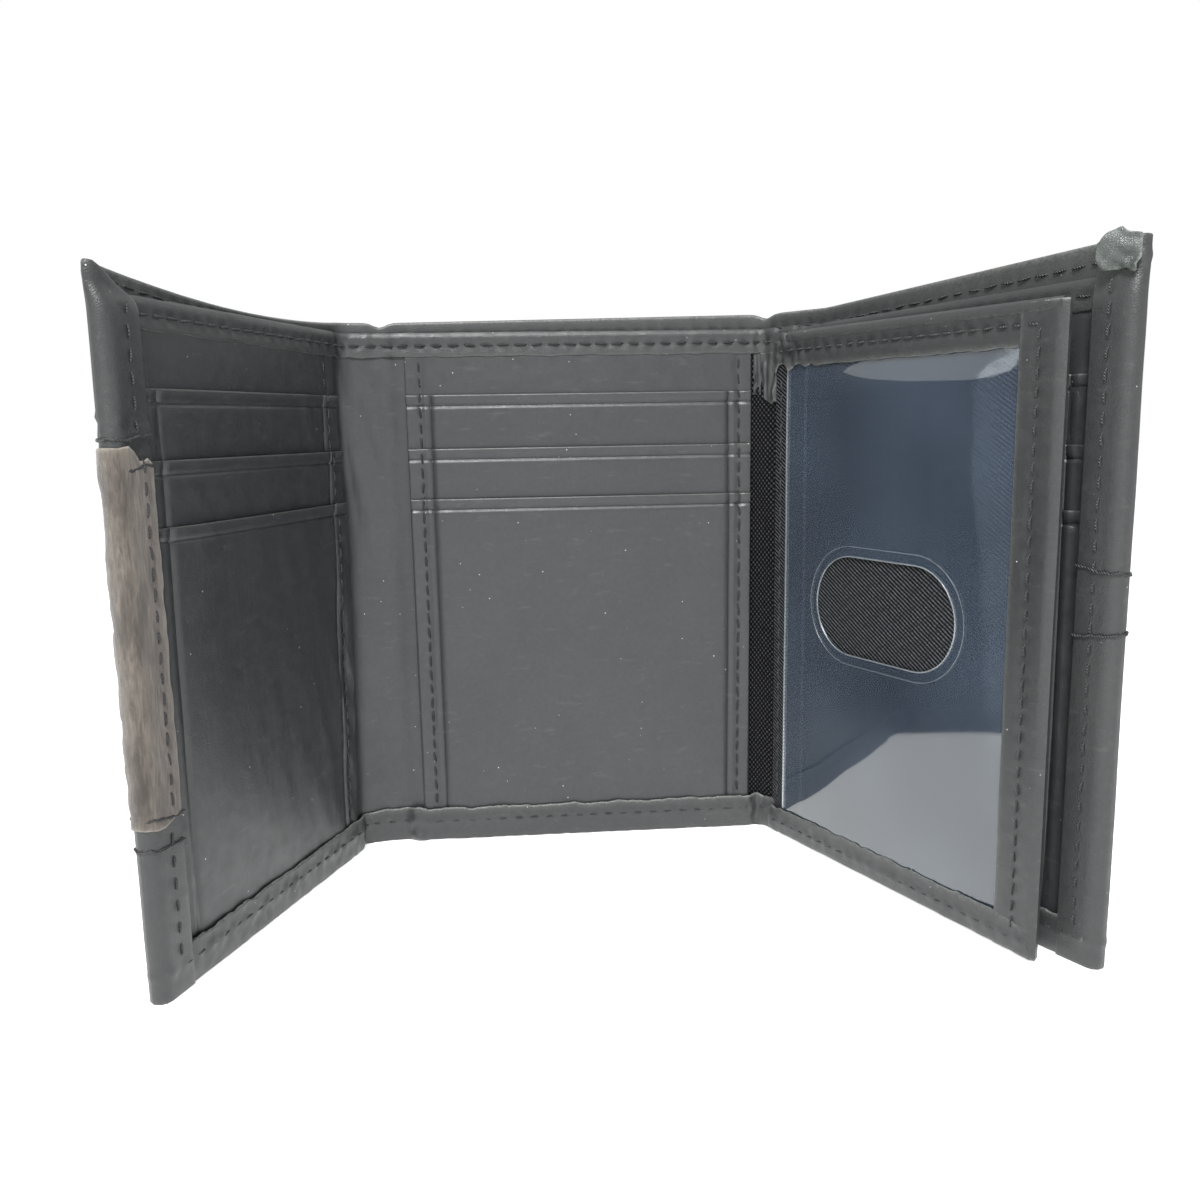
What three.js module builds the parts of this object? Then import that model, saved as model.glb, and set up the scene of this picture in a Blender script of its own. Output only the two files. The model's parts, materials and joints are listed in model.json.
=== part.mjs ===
// A leather trifold wallet standing half open: a centre panel, two folding spines, two wings and a
// swinging ID flap. Millimetres, +Z up. The centre panel lies in the XZ plane and its pockets face -Y.
import * as THREE from 'three';

// ---- Driving dimensions -------------------------------------------------------------------------
const HEIGHT = 107; // outer cover at the left of the centre panel
const RIGHT_HEIGHT = 108; // outer cover at the right of the centre panel
const LEFT_TIP_HEIGHT = 110; // the wings' free corners flare up
const RIGHT_TIP_HEIGHT = 111;
const LEFT_DIP_HEIGHT = 104.5; // control height that hollows the left wing's top edge

const CENTRE_WIDTH = 75.4; // crease to crease
const LEFT_SPINE = 10;
const RIGHT_SPINE = 15.4; // wider, because the flap folds inside it
const LEFT_WING = 66.5;
const RIGHT_WING = 64.8;
const FLAP_LENGTH = 56;

const LEFT_SPINE_ANGLE = 8; // each fold at rest, degrees from flat
const LEFT_WING_ANGLE = 61.2;
const RIGHT_SPINE_ANGLE = 50;
const RIGHT_WING_ANGLE = 11.7;
const FLAP_ANGLE = 3.8;

// Heights on the inside, the same on all three panels.
const WALL_TOP = 105;
const BINDING_BOTTOM = 100.2;
const SLOT_TOPS = [92.8, 82.2]; // the two card slot strips
const POCKET_TOP = 72.2; // the front pocket behind the third slot line
const STRIP_HEIGHT = 19;
const HEM_TOP = 7;
const FLOOR = 0.9; // the layers stand this high, inside the turned hem
const TOP_HEM_BOTTOM = 101.6;

// Depths, measured inward from the fold plane, which is the outer cover's inside face.
const DEPTH = {
  cover: [-0.8, 0],
  topHem: [0.2, 0.5],
  lining: [0.2, 0.45],
  spineWall: [0.6, 0.95],
  spineFront: [1.15, 1.4],
  spineBinding: [1.1, 1.5],
  divider: [1.05, 1.45],
  binding: [0.65, 2.1],
  hem: [0.15, 2.9],
  spineHem: [0.15, 1.6],
};
const LEATHER = 0.4; // thickness of a pocket sheet
const HEM_LEATHER = 0.6;
const EDGE_LEATHER = 0.8;
const CLEAR = 0.3; // gap between pieces that lie against each other
const SIDE_HEM = 7.5; // width of the turned hem down each free edge
const THREAD = 0.35;

// Where the layers start, measured along each panel from its fold, so that the folds can close.
const CENTRE_LEFT_SET = 1.5;
const CENTRE_RIGHT_SET = 2;
const CENTRE_HEM_SET = 2.4;
const BANK_LEFT = 34.3; // the pocket bank reaches this far each side of the middle
const BANK_RIGHT = 35.5;
const LEFT_WING_SET = 4.4;
const LEFT_WING_HEM_SET = 4.8;
const RIGHT_WING_SET = 2.2;

// ---- Finishes -----------------------------------------------------------------------------------
const FINISHES = {
  cover: { color: 0x2b2e30, roughness: 0.5 },
  inner: { color: 0x33383a, roughness: 0.45 },
  lining: { color: 0x202226, roughness: 0.9 },
  nylon: { color: 0x141416, roughness: 0.85 },
  twill: { color: 0x1c2230, roughness: 0.85 },
  suede: { color: 0x8a7a70, roughness: 0.95 },
  film: { color: 0x9aa4b0, roughness: 0.12, transparent: true, opacity: 0.35 },
  thread: { color: 0x101011, roughness: 0.8 },
};

const radians = (degrees) => (degrees * Math.PI) / 180;

// ---- A panel: a group whose pieces run out from its fold line -----------------------------------
// Along the panel is measured from the fold, to +X on the right side and to -X on the left.
class Panel {
  constructor(parent, side, along, depth, foldDegrees) {
    this.side = side;
    this.group = new THREE.Group();
    this.group.position.set(side * along, -depth, 0);
    this.group.rotation.z = -side * radians(foldDegrees);
    parent.add(this.group);
  }

  add(name, finish, geometry) {
    const material = new THREE.MeshStandardMaterial({ metalness: 0, ...FINISHES[finish] });
    const mesh = new THREE.Mesh(geometry, material);
    mesh.name = name;
    this.group.add(mesh);
  }

  // A flat rectangle of sheet.
  sheet(name, finish, [from, to], [bottom, top], [back, front]) {
    const geometry = new THREE.BoxGeometry(to - from, front - back, top - bottom);
    geometry.translate(this.side * (from + to) / 2, -(back + front) / 2, (bottom + top) / 2);
    this.add(name, finish, geometry);
  }

  // A sheet cut to an outline of [along, height] points or to a function that draws on the shape.
  cut(name, finish, draw, [back, front]) {
    const shape = new THREE.Shape();
    draw(shape, (along) => this.side * along);
    const geometry = extrude(shape, front - back);
    geometry.rotateX(Math.PI / 2);
    geometry.translate(0, -back, 0);
    this.add(name, finish, geometry);
  }

  // A [depth, height] section carried along the panel.
  section(name, finish, [from, to], points) {
    const shape = new THREE.Shape(points.map(([depth, height]) => new THREE.Vector2(depth, height)));
    const geometry = extrude(shape, to - from);
    const turn = new THREE.Matrix4().makeBasis(
      new THREE.Vector3(0, -1, 0),
      new THREE.Vector3(0, 0, 1),
      new THREE.Vector3(-1, 0, 0),
    );
    geometry.applyMatrix4(turn);
    geometry.translate(this.side > 0 ? to : -from, 0, 0);
    this.add(name, finish, geometry);
  }

  // An [along, depth] outline carried up from one height to another.
  upright(name, finish, points, [bottom, top]) {
    const shape = new THREE.Shape(
      points.map(([along, depth]) => new THREE.Vector2(this.side * along, -depth)),
    );
    const geometry = extrude(shape, top - bottom);
    geometry.translate(0, 0, bottom);
    this.add(name, finish, geometry);
  }
}

function extrude(shape, depth) {
  return new THREE.ExtrudeGeometry(shape, { depth, bevelEnabled: false, curveSegments: 10 });
}

// ---- Pieces that every panel has ----------------------------------------------------------------

// The leather lip that is turned up from the cover's bottom edge over the inside layers.
function bottomHem(panel, name, span, [back, front]) {
  panel.section(name, 'cover', span, [
    [back, 0],
    [front, 0],
    [front, HEM_TOP],
    [front - HEM_LEATHER, HEM_TOP],
    [front - HEM_LEATHER, HEM_LEATHER],
    [back, HEM_LEATHER],
  ]);
}

// The leather binding folded over the inner wall's top edge.
function topBinding(panel, name, span) {
  const [back, front] = DEPTH.binding;
  const wallBack = DEPTH.divider[0] - 0.2;
  const wallFront = DEPTH.divider[1] + 0.2;
  const crown = WALL_TOP - 0.5;
  panel.section(name, 'inner', span, [
    [back, BINDING_BOTTOM],
    [wallBack, BINDING_BOTTOM],
    [wallBack, crown],
    [wallFront, crown],
    [wallFront, BINDING_BOTTOM],
    [front, BINDING_BOTTOM],
    [front, WALL_TOP],
    [back, WALL_TOP],
  ]);
}

// A card slot strip: it leans outward at the top, so that the next strip covers its lower edge.
function leaningStrip(panel, name, span, top, bottom, topDepth, bottomDepth) {
  panel.section(name, 'inner', span, [
    [bottomDepth, bottom],
    [bottomDepth + LEATHER, bottom],
    [topDepth + LEATHER, top],
    [topDepth, top],
  ]);
}

// Two card slot strips and the front pocket, which give the panel its three card slots.
function cardBank(panel, prefix, span) {
  const [upper, lower] = SLOT_TOPS;
  leaningStrip(panel, `${prefix}_card_strip_upper`, span, upper, upper - STRIP_HEIGHT, 1.9, 1.65);
  leaningStrip(panel, `${prefix}_card_strip_lower`, span, lower, lower - STRIP_HEIGHT, 2.45, 2.2);
  leaningStrip(panel, `${prefix}_front_pocket`, span, POCKET_TOP, FLOOR, 2.95, 1.65);
}

// A straight run of sewing thread lying just proud of the leather.
function thread(panel, name, [from, to], [bottom, top], surface) {
  panel.sheet(name, 'thread', [from, to], [bottom, top], [surface + 0.12, surface + 0.12 + THREAD]);
}

// The thread down the side of a card bank steps out over each slot's edge.
function bankSideThread(panel, name, along) {
  const path = [
    [DEPTH.divider[1], BINDING_BOTTOM - 0.4],
    [DEPTH.divider[1] + 0.1, SLOT_TOPS[0] + 1],
    [2.35, SLOT_TOPS[0] + 0.4],
    [2.3, SLOT_TOPS[1] + 1],
    [2.9, SLOT_TOPS[1] + 0.4],
    [2.85, POCKET_TOP + 1],
    [3.4, POCKET_TOP + 0.4],
    [2.2, HEM_TOP + 0.4],
  ];
  const back = path.map(([depth, height]) => [depth + 0.15, height]);
  const front = path.map(([depth, height]) => [depth + 0.15 + THREAD, height]).reverse();
  panel.section(name, 'thread', [along, along + THREAD], [...back, ...front]);
}

// The lining, the inner wall and its binding, from the fold outward.
function wallAndLining(panel, prefix, span) {
  panel.sheet(`${prefix}_lining`, 'lining', span, [FLOOR, TOP_HEM_BOTTOM - CLEAR], DEPTH.lining);
  panel.sheet(`${prefix}_divider`, 'inner', span, [FLOOR, WALL_TOP - 0.7], DEPTH.divider);
  topBinding(panel, `${prefix}_top_binding`, span);
}

// The turned hem down a wing's free edge: a lip over the inside and a roll round the edge.
function sideHem(panel, name, length, top) {
  const [back, front] = DEPTH.hem;
  panel.upright(name, 'cover', [
    [length - EDGE_LEATHER, back],
    [length, back],
    [length, front],
    [length - SIDE_HEM, front],
    [length - SIDE_HEM, front - HEM_LEATHER],
    [length - EDGE_LEATHER, front - HEM_LEATHER],
  ], [0, top]);
}

// ---- Centre panel -------------------------------------------------------------------------------
function buildCentre(wallet) {
  const panel = new Panel(wallet, 1, 0, 0, 0);
  const half = CENTRE_WIDTH / 2;
  const edge = half - CLEAR / 2;
  panel.cut('centre_outer_cover', 'cover', (shape) => {
    shape.moveTo(-edge, 0);
    shape.lineTo(edge, 0);
    shape.lineTo(edge, RIGHT_HEIGHT);
    shape.lineTo(-edge, HEIGHT);
  }, DEPTH.cover);
  const span = [-half + CENTRE_LEFT_SET, half - CENTRE_RIGHT_SET];
  panel.sheet('centre_cover_top_hem', 'cover', span, [TOP_HEM_BOTTOM, HEIGHT], DEPTH.topHem);
  wallAndLining(panel, 'centre', span);
  cardBank(panel, 'centre', [-BANK_LEFT, BANK_RIGHT]);
  const hemSpan = [-half + CENTRE_HEM_SET, half - CENTRE_HEM_SET];
  bottomHem(panel, 'centre_bottom_hem', hemSpan, DEPTH.hem);
  thread(panel, 'centre_top_thread', span, [102.1, 102.1 + THREAD], DEPTH.binding[1]);
  thread(panel, 'centre_hem_thread', hemSpan, [3.8, 3.8 + THREAD], DEPTH.hem[1]);
  bankSideThread(panel, 'centre_left_thread', -BANK_LEFT + 2.8);
  bankSideThread(panel, 'centre_right_thread', BANK_RIGHT - 2.8);
  return panel;
}

// ---- Left side ----------------------------------------------------------------------------------
function buildLeftSpine(centre) {
  const panel = new Panel(centre.group, -1, CENTRE_WIDTH / 2, 0, LEFT_SPINE_ANGLE);
  const skin = [CLEAR / 2, LEFT_SPINE - CLEAR / 2];
  const layers = [1, LEFT_SPINE - 2];
  panel.sheet('left_spine_outer_cover', 'cover', skin, [0, HEIGHT], DEPTH.cover);
  panel.sheet('left_spine_cover_top_hem', 'cover', layers, [TOP_HEM_BOTTOM, HEIGHT], DEPTH.topHem);
  panel.sheet('left_spine_lining', 'lining', layers, [FLOOR, TOP_HEM_BOTTOM - CLEAR], DEPTH.lining);
  panel.sheet('left_spine_inner_wall', 'inner', layers, [FLOOR, WALL_TOP - 0.7], DEPTH.spineWall);
  panel.sheet('left_spine_top_binding', 'inner', layers, [BINDING_BOTTOM, WALL_TOP],
    DEPTH.spineBinding);
  bottomHem(panel, 'left_spine_bottom_hem', layers, DEPTH.spineHem);
  return panel;
}

function buildLeftWing(spine) {
  const panel = new Panel(spine.group, -1, LEFT_SPINE, 0, LEFT_WING_ANGLE);
  const hemStart = LEFT_WING - SIDE_HEM - CLEAR;
  const wall = [LEFT_WING_SET, LEFT_WING - EDGE_LEATHER - CLEAR];
  panel.cut('left_wing_outer_cover', 'cover', (shape, x) => {
    shape.moveTo(x(CLEAR / 2), 0);
    shape.lineTo(x(LEFT_WING), 0);
    shape.lineTo(x(LEFT_WING), LEFT_TIP_HEIGHT);
    shape.quadraticCurveTo(x(0.45 * LEFT_WING), LEFT_DIP_HEIGHT, x(CLEAR / 2), HEIGHT);
  }, DEPTH.cover);
  panel.sheet('left_wing_cover_top_hem', 'cover', [2.4, wall[1]], [TOP_HEM_BOTTOM, 105.8],
    DEPTH.topHem);
  wallAndLining(panel, 'left_wing', wall);
  cardBank(panel, 'left_wing', [LEFT_WING_SET, hemStart]);
  bottomHem(panel, 'left_wing_bottom_hem', [LEFT_WING_HEM_SET, hemStart], DEPTH.hem);
  sideHem(panel, 'left_wing_side_hem', LEFT_WING, LEFT_TIP_HEIGHT - 1);
  const sideThread = [LEFT_WING - 5, LEFT_WING - 5 + THREAD];
  const [suedeBottom, suedeTop] = SUEDE_HEIGHTS;
  thread(panel, 'left_wing_side_thread_upper', sideThread, [suedeTop + 0.5, 106], DEPTH.hem[1]);
  thread(panel, 'left_wing_side_thread_lower', sideThread, [3, suedeBottom - 0.5], DEPTH.hem[1]);
  bankSideThread(panel, 'left_wing_bank_thread', LEFT_WING_SET + 3.6);
  suedeBand(panel);
  return panel;
}

// A band of brown suede that lies on the wing's outside and wraps its free edge.
const SUEDE_HEIGHTS = [28, 84.5];

function suedeBand(panel) {
  const gap = 0.15;
  const suede = 0.45;
  const out = DEPTH.cover[0] - gap;
  const inside = DEPTH.hem[1] + gap;
  const end = LEFT_WING + gap;
  const inner = LEFT_WING - SIDE_HEM + 0.5;
  panel.upright('left_wing_suede_band', 'suede', [
    [LEFT_WING_SET, out - suede],
    [end + suede, out - suede],
    [end + suede, inside + suede],
    [inner, inside + suede],
    [inner, inside],
    [end, inside],
    [end, out],
    [LEFT_WING_SET, out],
  ], SUEDE_HEIGHTS);
}

// ---- Right side ---------------------------------------------------------------------------------
function buildRightSpine(centre) {
  const panel = new Panel(centre.group, 1, CENTRE_WIDTH / 2, 0, RIGHT_SPINE_ANGLE);
  const skin = [CLEAR / 2, RIGHT_SPINE - CLEAR / 2];
  const layers = [1, RIGHT_SPINE - 1];
  const facing = [1, 4.3];
  const root = [4.6, RIGHT_SPINE - 2];
  panel.sheet('right_spine_outer_cover', 'cover', skin, [0, RIGHT_HEIGHT], DEPTH.cover);
  panel.sheet('right_spine_cover_top_hem', 'cover', layers, [TOP_HEM_BOTTOM, HEIGHT],
    DEPTH.topHem);
  panel.sheet('right_spine_lining', 'lining', layers, [FLOOR, TOP_HEM_BOTTOM - CLEAR],
    DEPTH.lining);
  panel.sheet('right_spine_nylon_wall', 'nylon', layers, [FLOOR, WALL_TOP - 0.7],
    DEPTH.spineWall);
  panel.sheet('right_spine_leather_facing', 'inner', facing, [90.5, BINDING_BOTTOM - CLEAR],
    DEPTH.spineFront);
  panel.sheet('right_spine_top_binding', 'inner', layers, [BINDING_BOTTOM, WALL_TOP],
    DEPTH.spineBinding);
  panel.sheet('flap_root_strip', 'inner', root, [HEM_TOP + CLEAR, BINDING_BOTTOM - CLEAR],
    DEPTH.spineFront);
  bottomHem(panel, 'right_spine_bottom_hem', layers, DEPTH.spineHem);
  return panel;
}

function buildRightWing(spine) {
  const panel = new Panel(spine.group, 1, RIGHT_SPINE, 0, RIGHT_WING_ANGLE);
  const hemStart = RIGHT_WING - SIDE_HEM - CLEAR;
  const wall = [RIGHT_WING_SET, RIGHT_WING - EDGE_LEATHER - CLEAR];
  panel.cut('right_wing_outer_cover', 'cover', (shape, x) => {
    shape.moveTo(x(CLEAR / 2), 0);
    shape.lineTo(x(RIGHT_WING), 0);
    shape.lineTo(x(RIGHT_WING), RIGHT_TIP_HEIGHT);
    shape.lineTo(x(CLEAR / 2), RIGHT_HEIGHT);
  }, DEPTH.cover);
  panel.sheet('right_wing_cover_top_hem', 'cover', wall, [TOP_HEM_BOTTOM, RIGHT_HEIGHT],
    DEPTH.topHem);
  wallAndLining(panel, 'right_wing', wall);
  cardBank(panel, 'right_wing', [RIGHT_WING_SET, hemStart]);
  bottomHem(panel, 'right_wing_bottom_hem', [RIGHT_WING_SET, hemStart], DEPTH.hem);
  sideHem(panel, 'right_wing_side_hem', RIGHT_WING, RIGHT_TIP_HEIGHT - 0.5);
  thread(panel, 'right_wing_side_thread', [RIGHT_WING - 4.5, RIGHT_WING - 4.5 + THREAD],
    [3, 107], DEPTH.hem[1]);
  return panel;
}

// ---- ID flap ------------------------------------------------------------------------------------
// Its depths are measured from its own hinge plane, which lies just clear of the right wing's pockets.
const FLAP_HINGE_ALONG = 2.3;
const FLAP_HINGE_DEPTH = 4.2;
const FLAP_DEPTH = {
  back: [-0.65, -0.3],
  lining: [-0.1, 0.1],
  film: [0.25, 0.4],
  border: [0.5, 0.9],
};
const FLAP_BOTTOM = 0.4;
const FLAP_TOP = 103.5;
const WINDOW_TOP = 97;
const WINDOW_BOTTOM = 6;
const SIDE_BORDER = 7.2;
const THUMB_SLOT = { along: 19.4, height: 51.9, length: 34.7, width: 18.6 };

function stadium({ along, height, length, width }) {
  const radius = width / 2;
  const reach = length / 2 - radius;
  const hole = new THREE.Path();
  hole.absarc(along + reach, height, radius, -Math.PI / 2, Math.PI / 2);
  hole.absarc(along - reach, height, radius, Math.PI / 2, (3 * Math.PI) / 2);
  hole.closePath();
  return hole;
}

function buildFlap(wing) {
  const panel = new Panel(wing.group, 1, FLAP_HINGE_ALONG, FLAP_HINGE_DEPTH, FLAP_ANGLE);
  const window = FLAP_LENGTH - SIDE_BORDER;
  const whole = [0, FLAP_LENGTH];
  panel.sheet('flap_back_panel', 'inner', whole, [FLAP_BOTTOM, FLAP_TOP], FLAP_DEPTH.back);
  panel.sheet('flap_twill_lining', 'twill', [0.3, FLAP_LENGTH - 0.8],
    [FLAP_BOTTOM + 0.8, FLAP_TOP - 0.8], FLAP_DEPTH.lining);
  panel.cut('flap_window_film', 'film', (shape) => {
    shape.moveTo(0.3, FLAP_BOTTOM + 1.6);
    shape.lineTo(FLAP_LENGTH - 2, FLAP_BOTTOM + 1.6);
    shape.lineTo(FLAP_LENGTH - 2, FLAP_TOP - 1.6);
    shape.lineTo(0.3, FLAP_TOP - 1.6);
    shape.holes.push(stadium(THUMB_SLOT));
  }, FLAP_DEPTH.film);
  panel.sheet('flap_top_border', 'cover', whole, [WINDOW_TOP, FLAP_TOP], FLAP_DEPTH.border);
  panel.sheet('flap_side_border', 'cover', [window, FLAP_LENGTH],
    [WINDOW_BOTTOM + CLEAR, WINDOW_TOP - CLEAR], FLAP_DEPTH.border);
  panel.sheet('flap_bottom_hem', 'cover', whole, [FLAP_BOTTOM, WINDOW_BOTTOM], FLAP_DEPTH.border);
  thread(panel, 'flap_top_thread', [1, FLAP_LENGTH - 4.8], [99.9, 99.9 + THREAD],
    FLAP_DEPTH.border[1]);
  thread(panel, 'flap_side_thread', [FLAP_LENGTH - 4.3, FLAP_LENGTH - 4.3 + THREAD], [3.6, 99.6],
    FLAP_DEPTH.border[1]);
  return panel;
}

// ---- The wallet ---------------------------------------------------------------------------------
const wallet = new THREE.Group();
const centre = buildCentre(wallet);
buildLeftWing(buildLeftSpine(centre));
buildFlap(buildRightWing(buildRightSpine(centre)));

// The origin is the middle of the base of the box around the standing wallet.
wallet.updateMatrixWorld(true);
const around = new THREE.Box3().setFromObject(wallet, true);
const middle = around.getCenter(new THREE.Vector3());
wallet.position.set(-middle.x, -middle.y, -around.min.z);
wallet.updateMatrixWorld(true);

export default wallet;
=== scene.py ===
"""A leather trifold wallet standing half open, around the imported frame.

Lengths are millimetres. Every sheet is laid out in three of them: the length along the wallet's folded plan,
the depth inward from the cover's lining and the height.
"""

import json
import math

import bpy
import numpy as np
from mathutils import Matrix, Vector


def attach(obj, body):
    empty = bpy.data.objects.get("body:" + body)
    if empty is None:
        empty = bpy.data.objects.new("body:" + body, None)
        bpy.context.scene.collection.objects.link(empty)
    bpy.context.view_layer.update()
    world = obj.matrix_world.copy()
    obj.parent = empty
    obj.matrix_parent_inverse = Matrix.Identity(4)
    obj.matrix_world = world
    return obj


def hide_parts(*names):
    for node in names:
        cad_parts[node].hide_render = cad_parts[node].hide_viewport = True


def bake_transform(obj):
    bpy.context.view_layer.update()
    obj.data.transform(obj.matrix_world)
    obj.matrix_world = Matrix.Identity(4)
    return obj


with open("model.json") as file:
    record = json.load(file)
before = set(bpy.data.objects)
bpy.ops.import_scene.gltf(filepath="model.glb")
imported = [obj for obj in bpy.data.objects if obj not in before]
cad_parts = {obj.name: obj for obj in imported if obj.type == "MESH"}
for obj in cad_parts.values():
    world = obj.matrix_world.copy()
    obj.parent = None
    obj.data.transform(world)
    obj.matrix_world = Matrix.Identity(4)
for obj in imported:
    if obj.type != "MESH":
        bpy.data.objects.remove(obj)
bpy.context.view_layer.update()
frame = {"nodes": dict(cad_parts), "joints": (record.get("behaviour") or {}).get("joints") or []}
MM = 0.001

# ---- The plan: the wallet's folds seen from above ----
FOLD = {j["name"]: np.array(j["pos_m"][:2]) / MM for j in frame["joints"]}
CENTRE_HALF = 37.7
LEFT_SPINE = 10.0
RIGHT_SPINE = 15.4
LEFT_WING = 66.5
RIGHT_WING = 64.8
LEFT_CREASE = -CENTRE_HALF - LEFT_SPINE
LEFT_TIP = LEFT_CREASE - LEFT_WING
RIGHT_CREASE = CENTRE_HALF + RIGHT_SPINE
RIGHT_TIP = RIGHT_CREASE + RIGHT_WING
LEFT_ANGLE = math.radians(69.2)  # the wings' and the flap's angles from the centre panel
RIGHT_ANGLE = math.radians(61.7)
FLAP_ANGLE = math.radians(65.5)
FLAP_SEWN_AT = (4.6, 1.3)  # where the flap is sewn on: along the right spine, and its depth
FLAP_LENGTH = 55.2
SOFTNESS = 3.0  # a fold is rounded this far on each side


class Plan:
    """A bent line seen from above. A length along it gives a point and the inward direction there."""

    def __init__(self, points, lengths):
        self.points = np.array(points, float)
        self.lengths = np.array(lengths, float)
        parts = np.diff(self.points, axis=0)
        self.directions = parts / np.linalg.norm(parts, axis=1)[:, None]

    def at(self, along):
        along = np.asarray(along, float)
        part = np.clip(np.searchsorted(self.lengths, along) - 1, 0, len(self.directions) - 1)
        way = self.directions[part]
        point = self.points[part] + way * (along - self.lengths[part])[..., None]
        for fold in range(1, len(self.lengths) - 1):
            before, after = self.directions[fold - 1], self.directions[fold]
            t = (along - self.lengths[fold] + SOFTNESS)[..., None] / (2 * SOFTNESS)
            near = (t > 0) & (t < 1)
            corner = self.points[fold]
            start = corner - SOFTNESS * before
            end = corner + SOFTNESS * after
            bent = (1 - t) ** 2 * start + 2 * t * (1 - t) * corner + t ** 2 * end
            turned = (1 - t) * before + t * after
            turned = turned / np.linalg.norm(turned, axis=-1, keepdims=True)
            point = np.where(near, bent, point)
            way = np.where(near, turned, way)
        return point, np.stack([way[..., 1], -way[..., 0]], -1)

    def place(self, along, depth, height):
        """Points in metres for arrays of length along, depth inward and height."""
        point, inward = self.at(along)
        flat = point + inward * np.asarray(depth)[..., None]
        return np.concatenate([flat, np.asarray(height)[..., None]], -1) * MM


def heading(angle, side):
    return np.array([side * math.cos(angle), -math.sin(angle)])


folds = [FOLD[f"{name}_fold"] for name in ("left_wing", "left_spine", "right_spine", "right_wing")]
left_tip = folds[0] + LEFT_WING * heading(LEFT_ANGLE, -1)
right_tip = folds[-1] + RIGHT_WING * heading(RIGHT_ANGLE, 1)
COVER = Plan([left_tip, *folds, right_tip],
             [LEFT_TIP, LEFT_CREASE, -CENTRE_HALF, CENTRE_HALF, RIGHT_CREASE, RIGHT_TIP])
root = COVER.place([CENTRE_HALF + FLAP_SEWN_AT[0]], [FLAP_SEWN_AT[1]], [0])[0, :2] / MM
FLAP_ROOT = float(np.linalg.norm(FOLD["id_flap_flip"] - root))  # from the sewn edge to the hinge
FLAP_END = FLAP_ROOT + FLAP_LENGTH
flap_tip = FOLD["id_flap_flip"] + FLAP_LENGTH * heading(FLAP_ANGLE, 1)
FLAP = Plan([root, FOLD["id_flap_flip"], flap_tip], [0, FLAP_ROOT, FLAP_END])

# ---- Heights and depths ----
BINDING_BOTTOM = 100.2
SLOT_TOPS = (92.8, 82.2)
POCKET_TOP = 72.2
STRIP = 19.0
HEM_TOP = 7.0
LEATHER = 0.4
OUTSIDE = -0.4  # depth of the cover's outer leather, and of its turned-in edge
LIP_DEPTH = 2.6
SIDE_HEM = 7.4
HEM_SEAM = 4.4  # heights of the seams along the bottom hem and the binding
BINDING_SEAM = 102.4


def ramp(x, low, high):
    """0 up to low, 1 from high on and a smooth rise between them."""
    t = np.clip((np.asarray(x, float) - low) / (high - low), 0, 1)
    return t * t * (3 - 2 * t)


def bell(x, centre, width):
    return np.exp(-((x - centre) / width) ** 2)


def fullness(along):
    """1 on the panels and 0 on the spines, where the layers lie flatter so that the folds can close."""
    left = ramp(-along, -LEFT_CREASE + 1, -LEFT_CREASE + 4.4)
    right = ramp(along, RIGHT_CREASE - 0.5, RIGHT_CREASE + 2.2)
    return np.maximum(np.maximum(left, right), ramp(CENTRE_HALF - np.abs(along), -0.8, 2))


def cover_top(along):
    """The outer cover's top edge: flat in the middle, flaring up to the wings' corners."""
    along = np.asarray(along, float)
    middle = np.interp(along, [-CENTRE_HALF, CENTRE_HALF], [107.0, 108.0])
    right = 108 + 3.9 * np.clip((along - RIGHT_CREASE) / (0.9 * RIGHT_WING), 0, 1)
    t = np.clip((LEFT_CREASE - along) / LEFT_WING, 0, 1)
    left = 107 * (1 - t) ** 2 + 2 * t * (1 - t) * 104.5 + 110 * t ** 2
    top = np.where(along > RIGHT_CREASE, right, np.where(along < LEFT_CREASE, left, middle))
    return top - 0.9 * (bell(along, -39, 1.6) + bell(along, 39, 1.8))


def cover_seam(along):
    """Height of the seam below the cover's top edge. It runs closer to the edge on the left wing."""
    return cover_top(along) - 3.0 + 1.2 * ramp(LEFT_CREASE - along, 0, 30)


def wall_rise(along):
    """The inner wall and its binding climb a little towards the wings' corners."""
    left = np.clip((LEFT_CREASE - along) / LEFT_WING, 0, 1)
    return left + 2.0 * np.clip((along - RIGHT_CREASE) / RIGHT_WING, 0, 1)


def bank_front(along, height):
    """Depth of the front of the card slots' leather at each height."""
    upper, lower = SLOT_TOPS
    return np.select([height > upper, height > lower, height > POCKET_TOP],
        [1.66, 2.3 + (height - upper) * 0.0132, 2.85 + (height - lower) * 0.0132],
        2.05 + 1.3 * (height - 0.9) / (POCKET_TOP - 0.9))


# ---- Noise ----
TABLE = np.random.RandomState(7).rand(256, 256)


def noise(x, y, seed=0):
    """Smooth noise from -1 to 1 with a feature size of about one unit."""
    x, y = np.broadcast_arrays(np.asarray(x, float) + 37.7 * seed, np.asarray(y, float) + 91.3 * seed)
    i, j = np.floor(x).astype(int), np.floor(y).astype(int)
    u, v = x - i, y - j
    u, v = u * u * (3 - 2 * u), v * v * (3 - 2 * v)

    def corner(a, b):
        return TABLE[(i + a) % 256, (j + b) % 256]

    low = corner(0, 0) * (1 - u) + corner(1, 0) * u
    high = corner(0, 1) * (1 - u) + corner(1, 1) * u
    return 2 * (low * (1 - v) + high * v) - 1


# ---- Mesh building ----
EDGE_ROUND = 0.35
# how far the pale rim reaches in from a rounded edge; on the leathers it is partly wear and partly painted
# highlight
WEAR_AND_HIGHLIGHT_REACH = 0.28
BOTH = (True, True)


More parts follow.
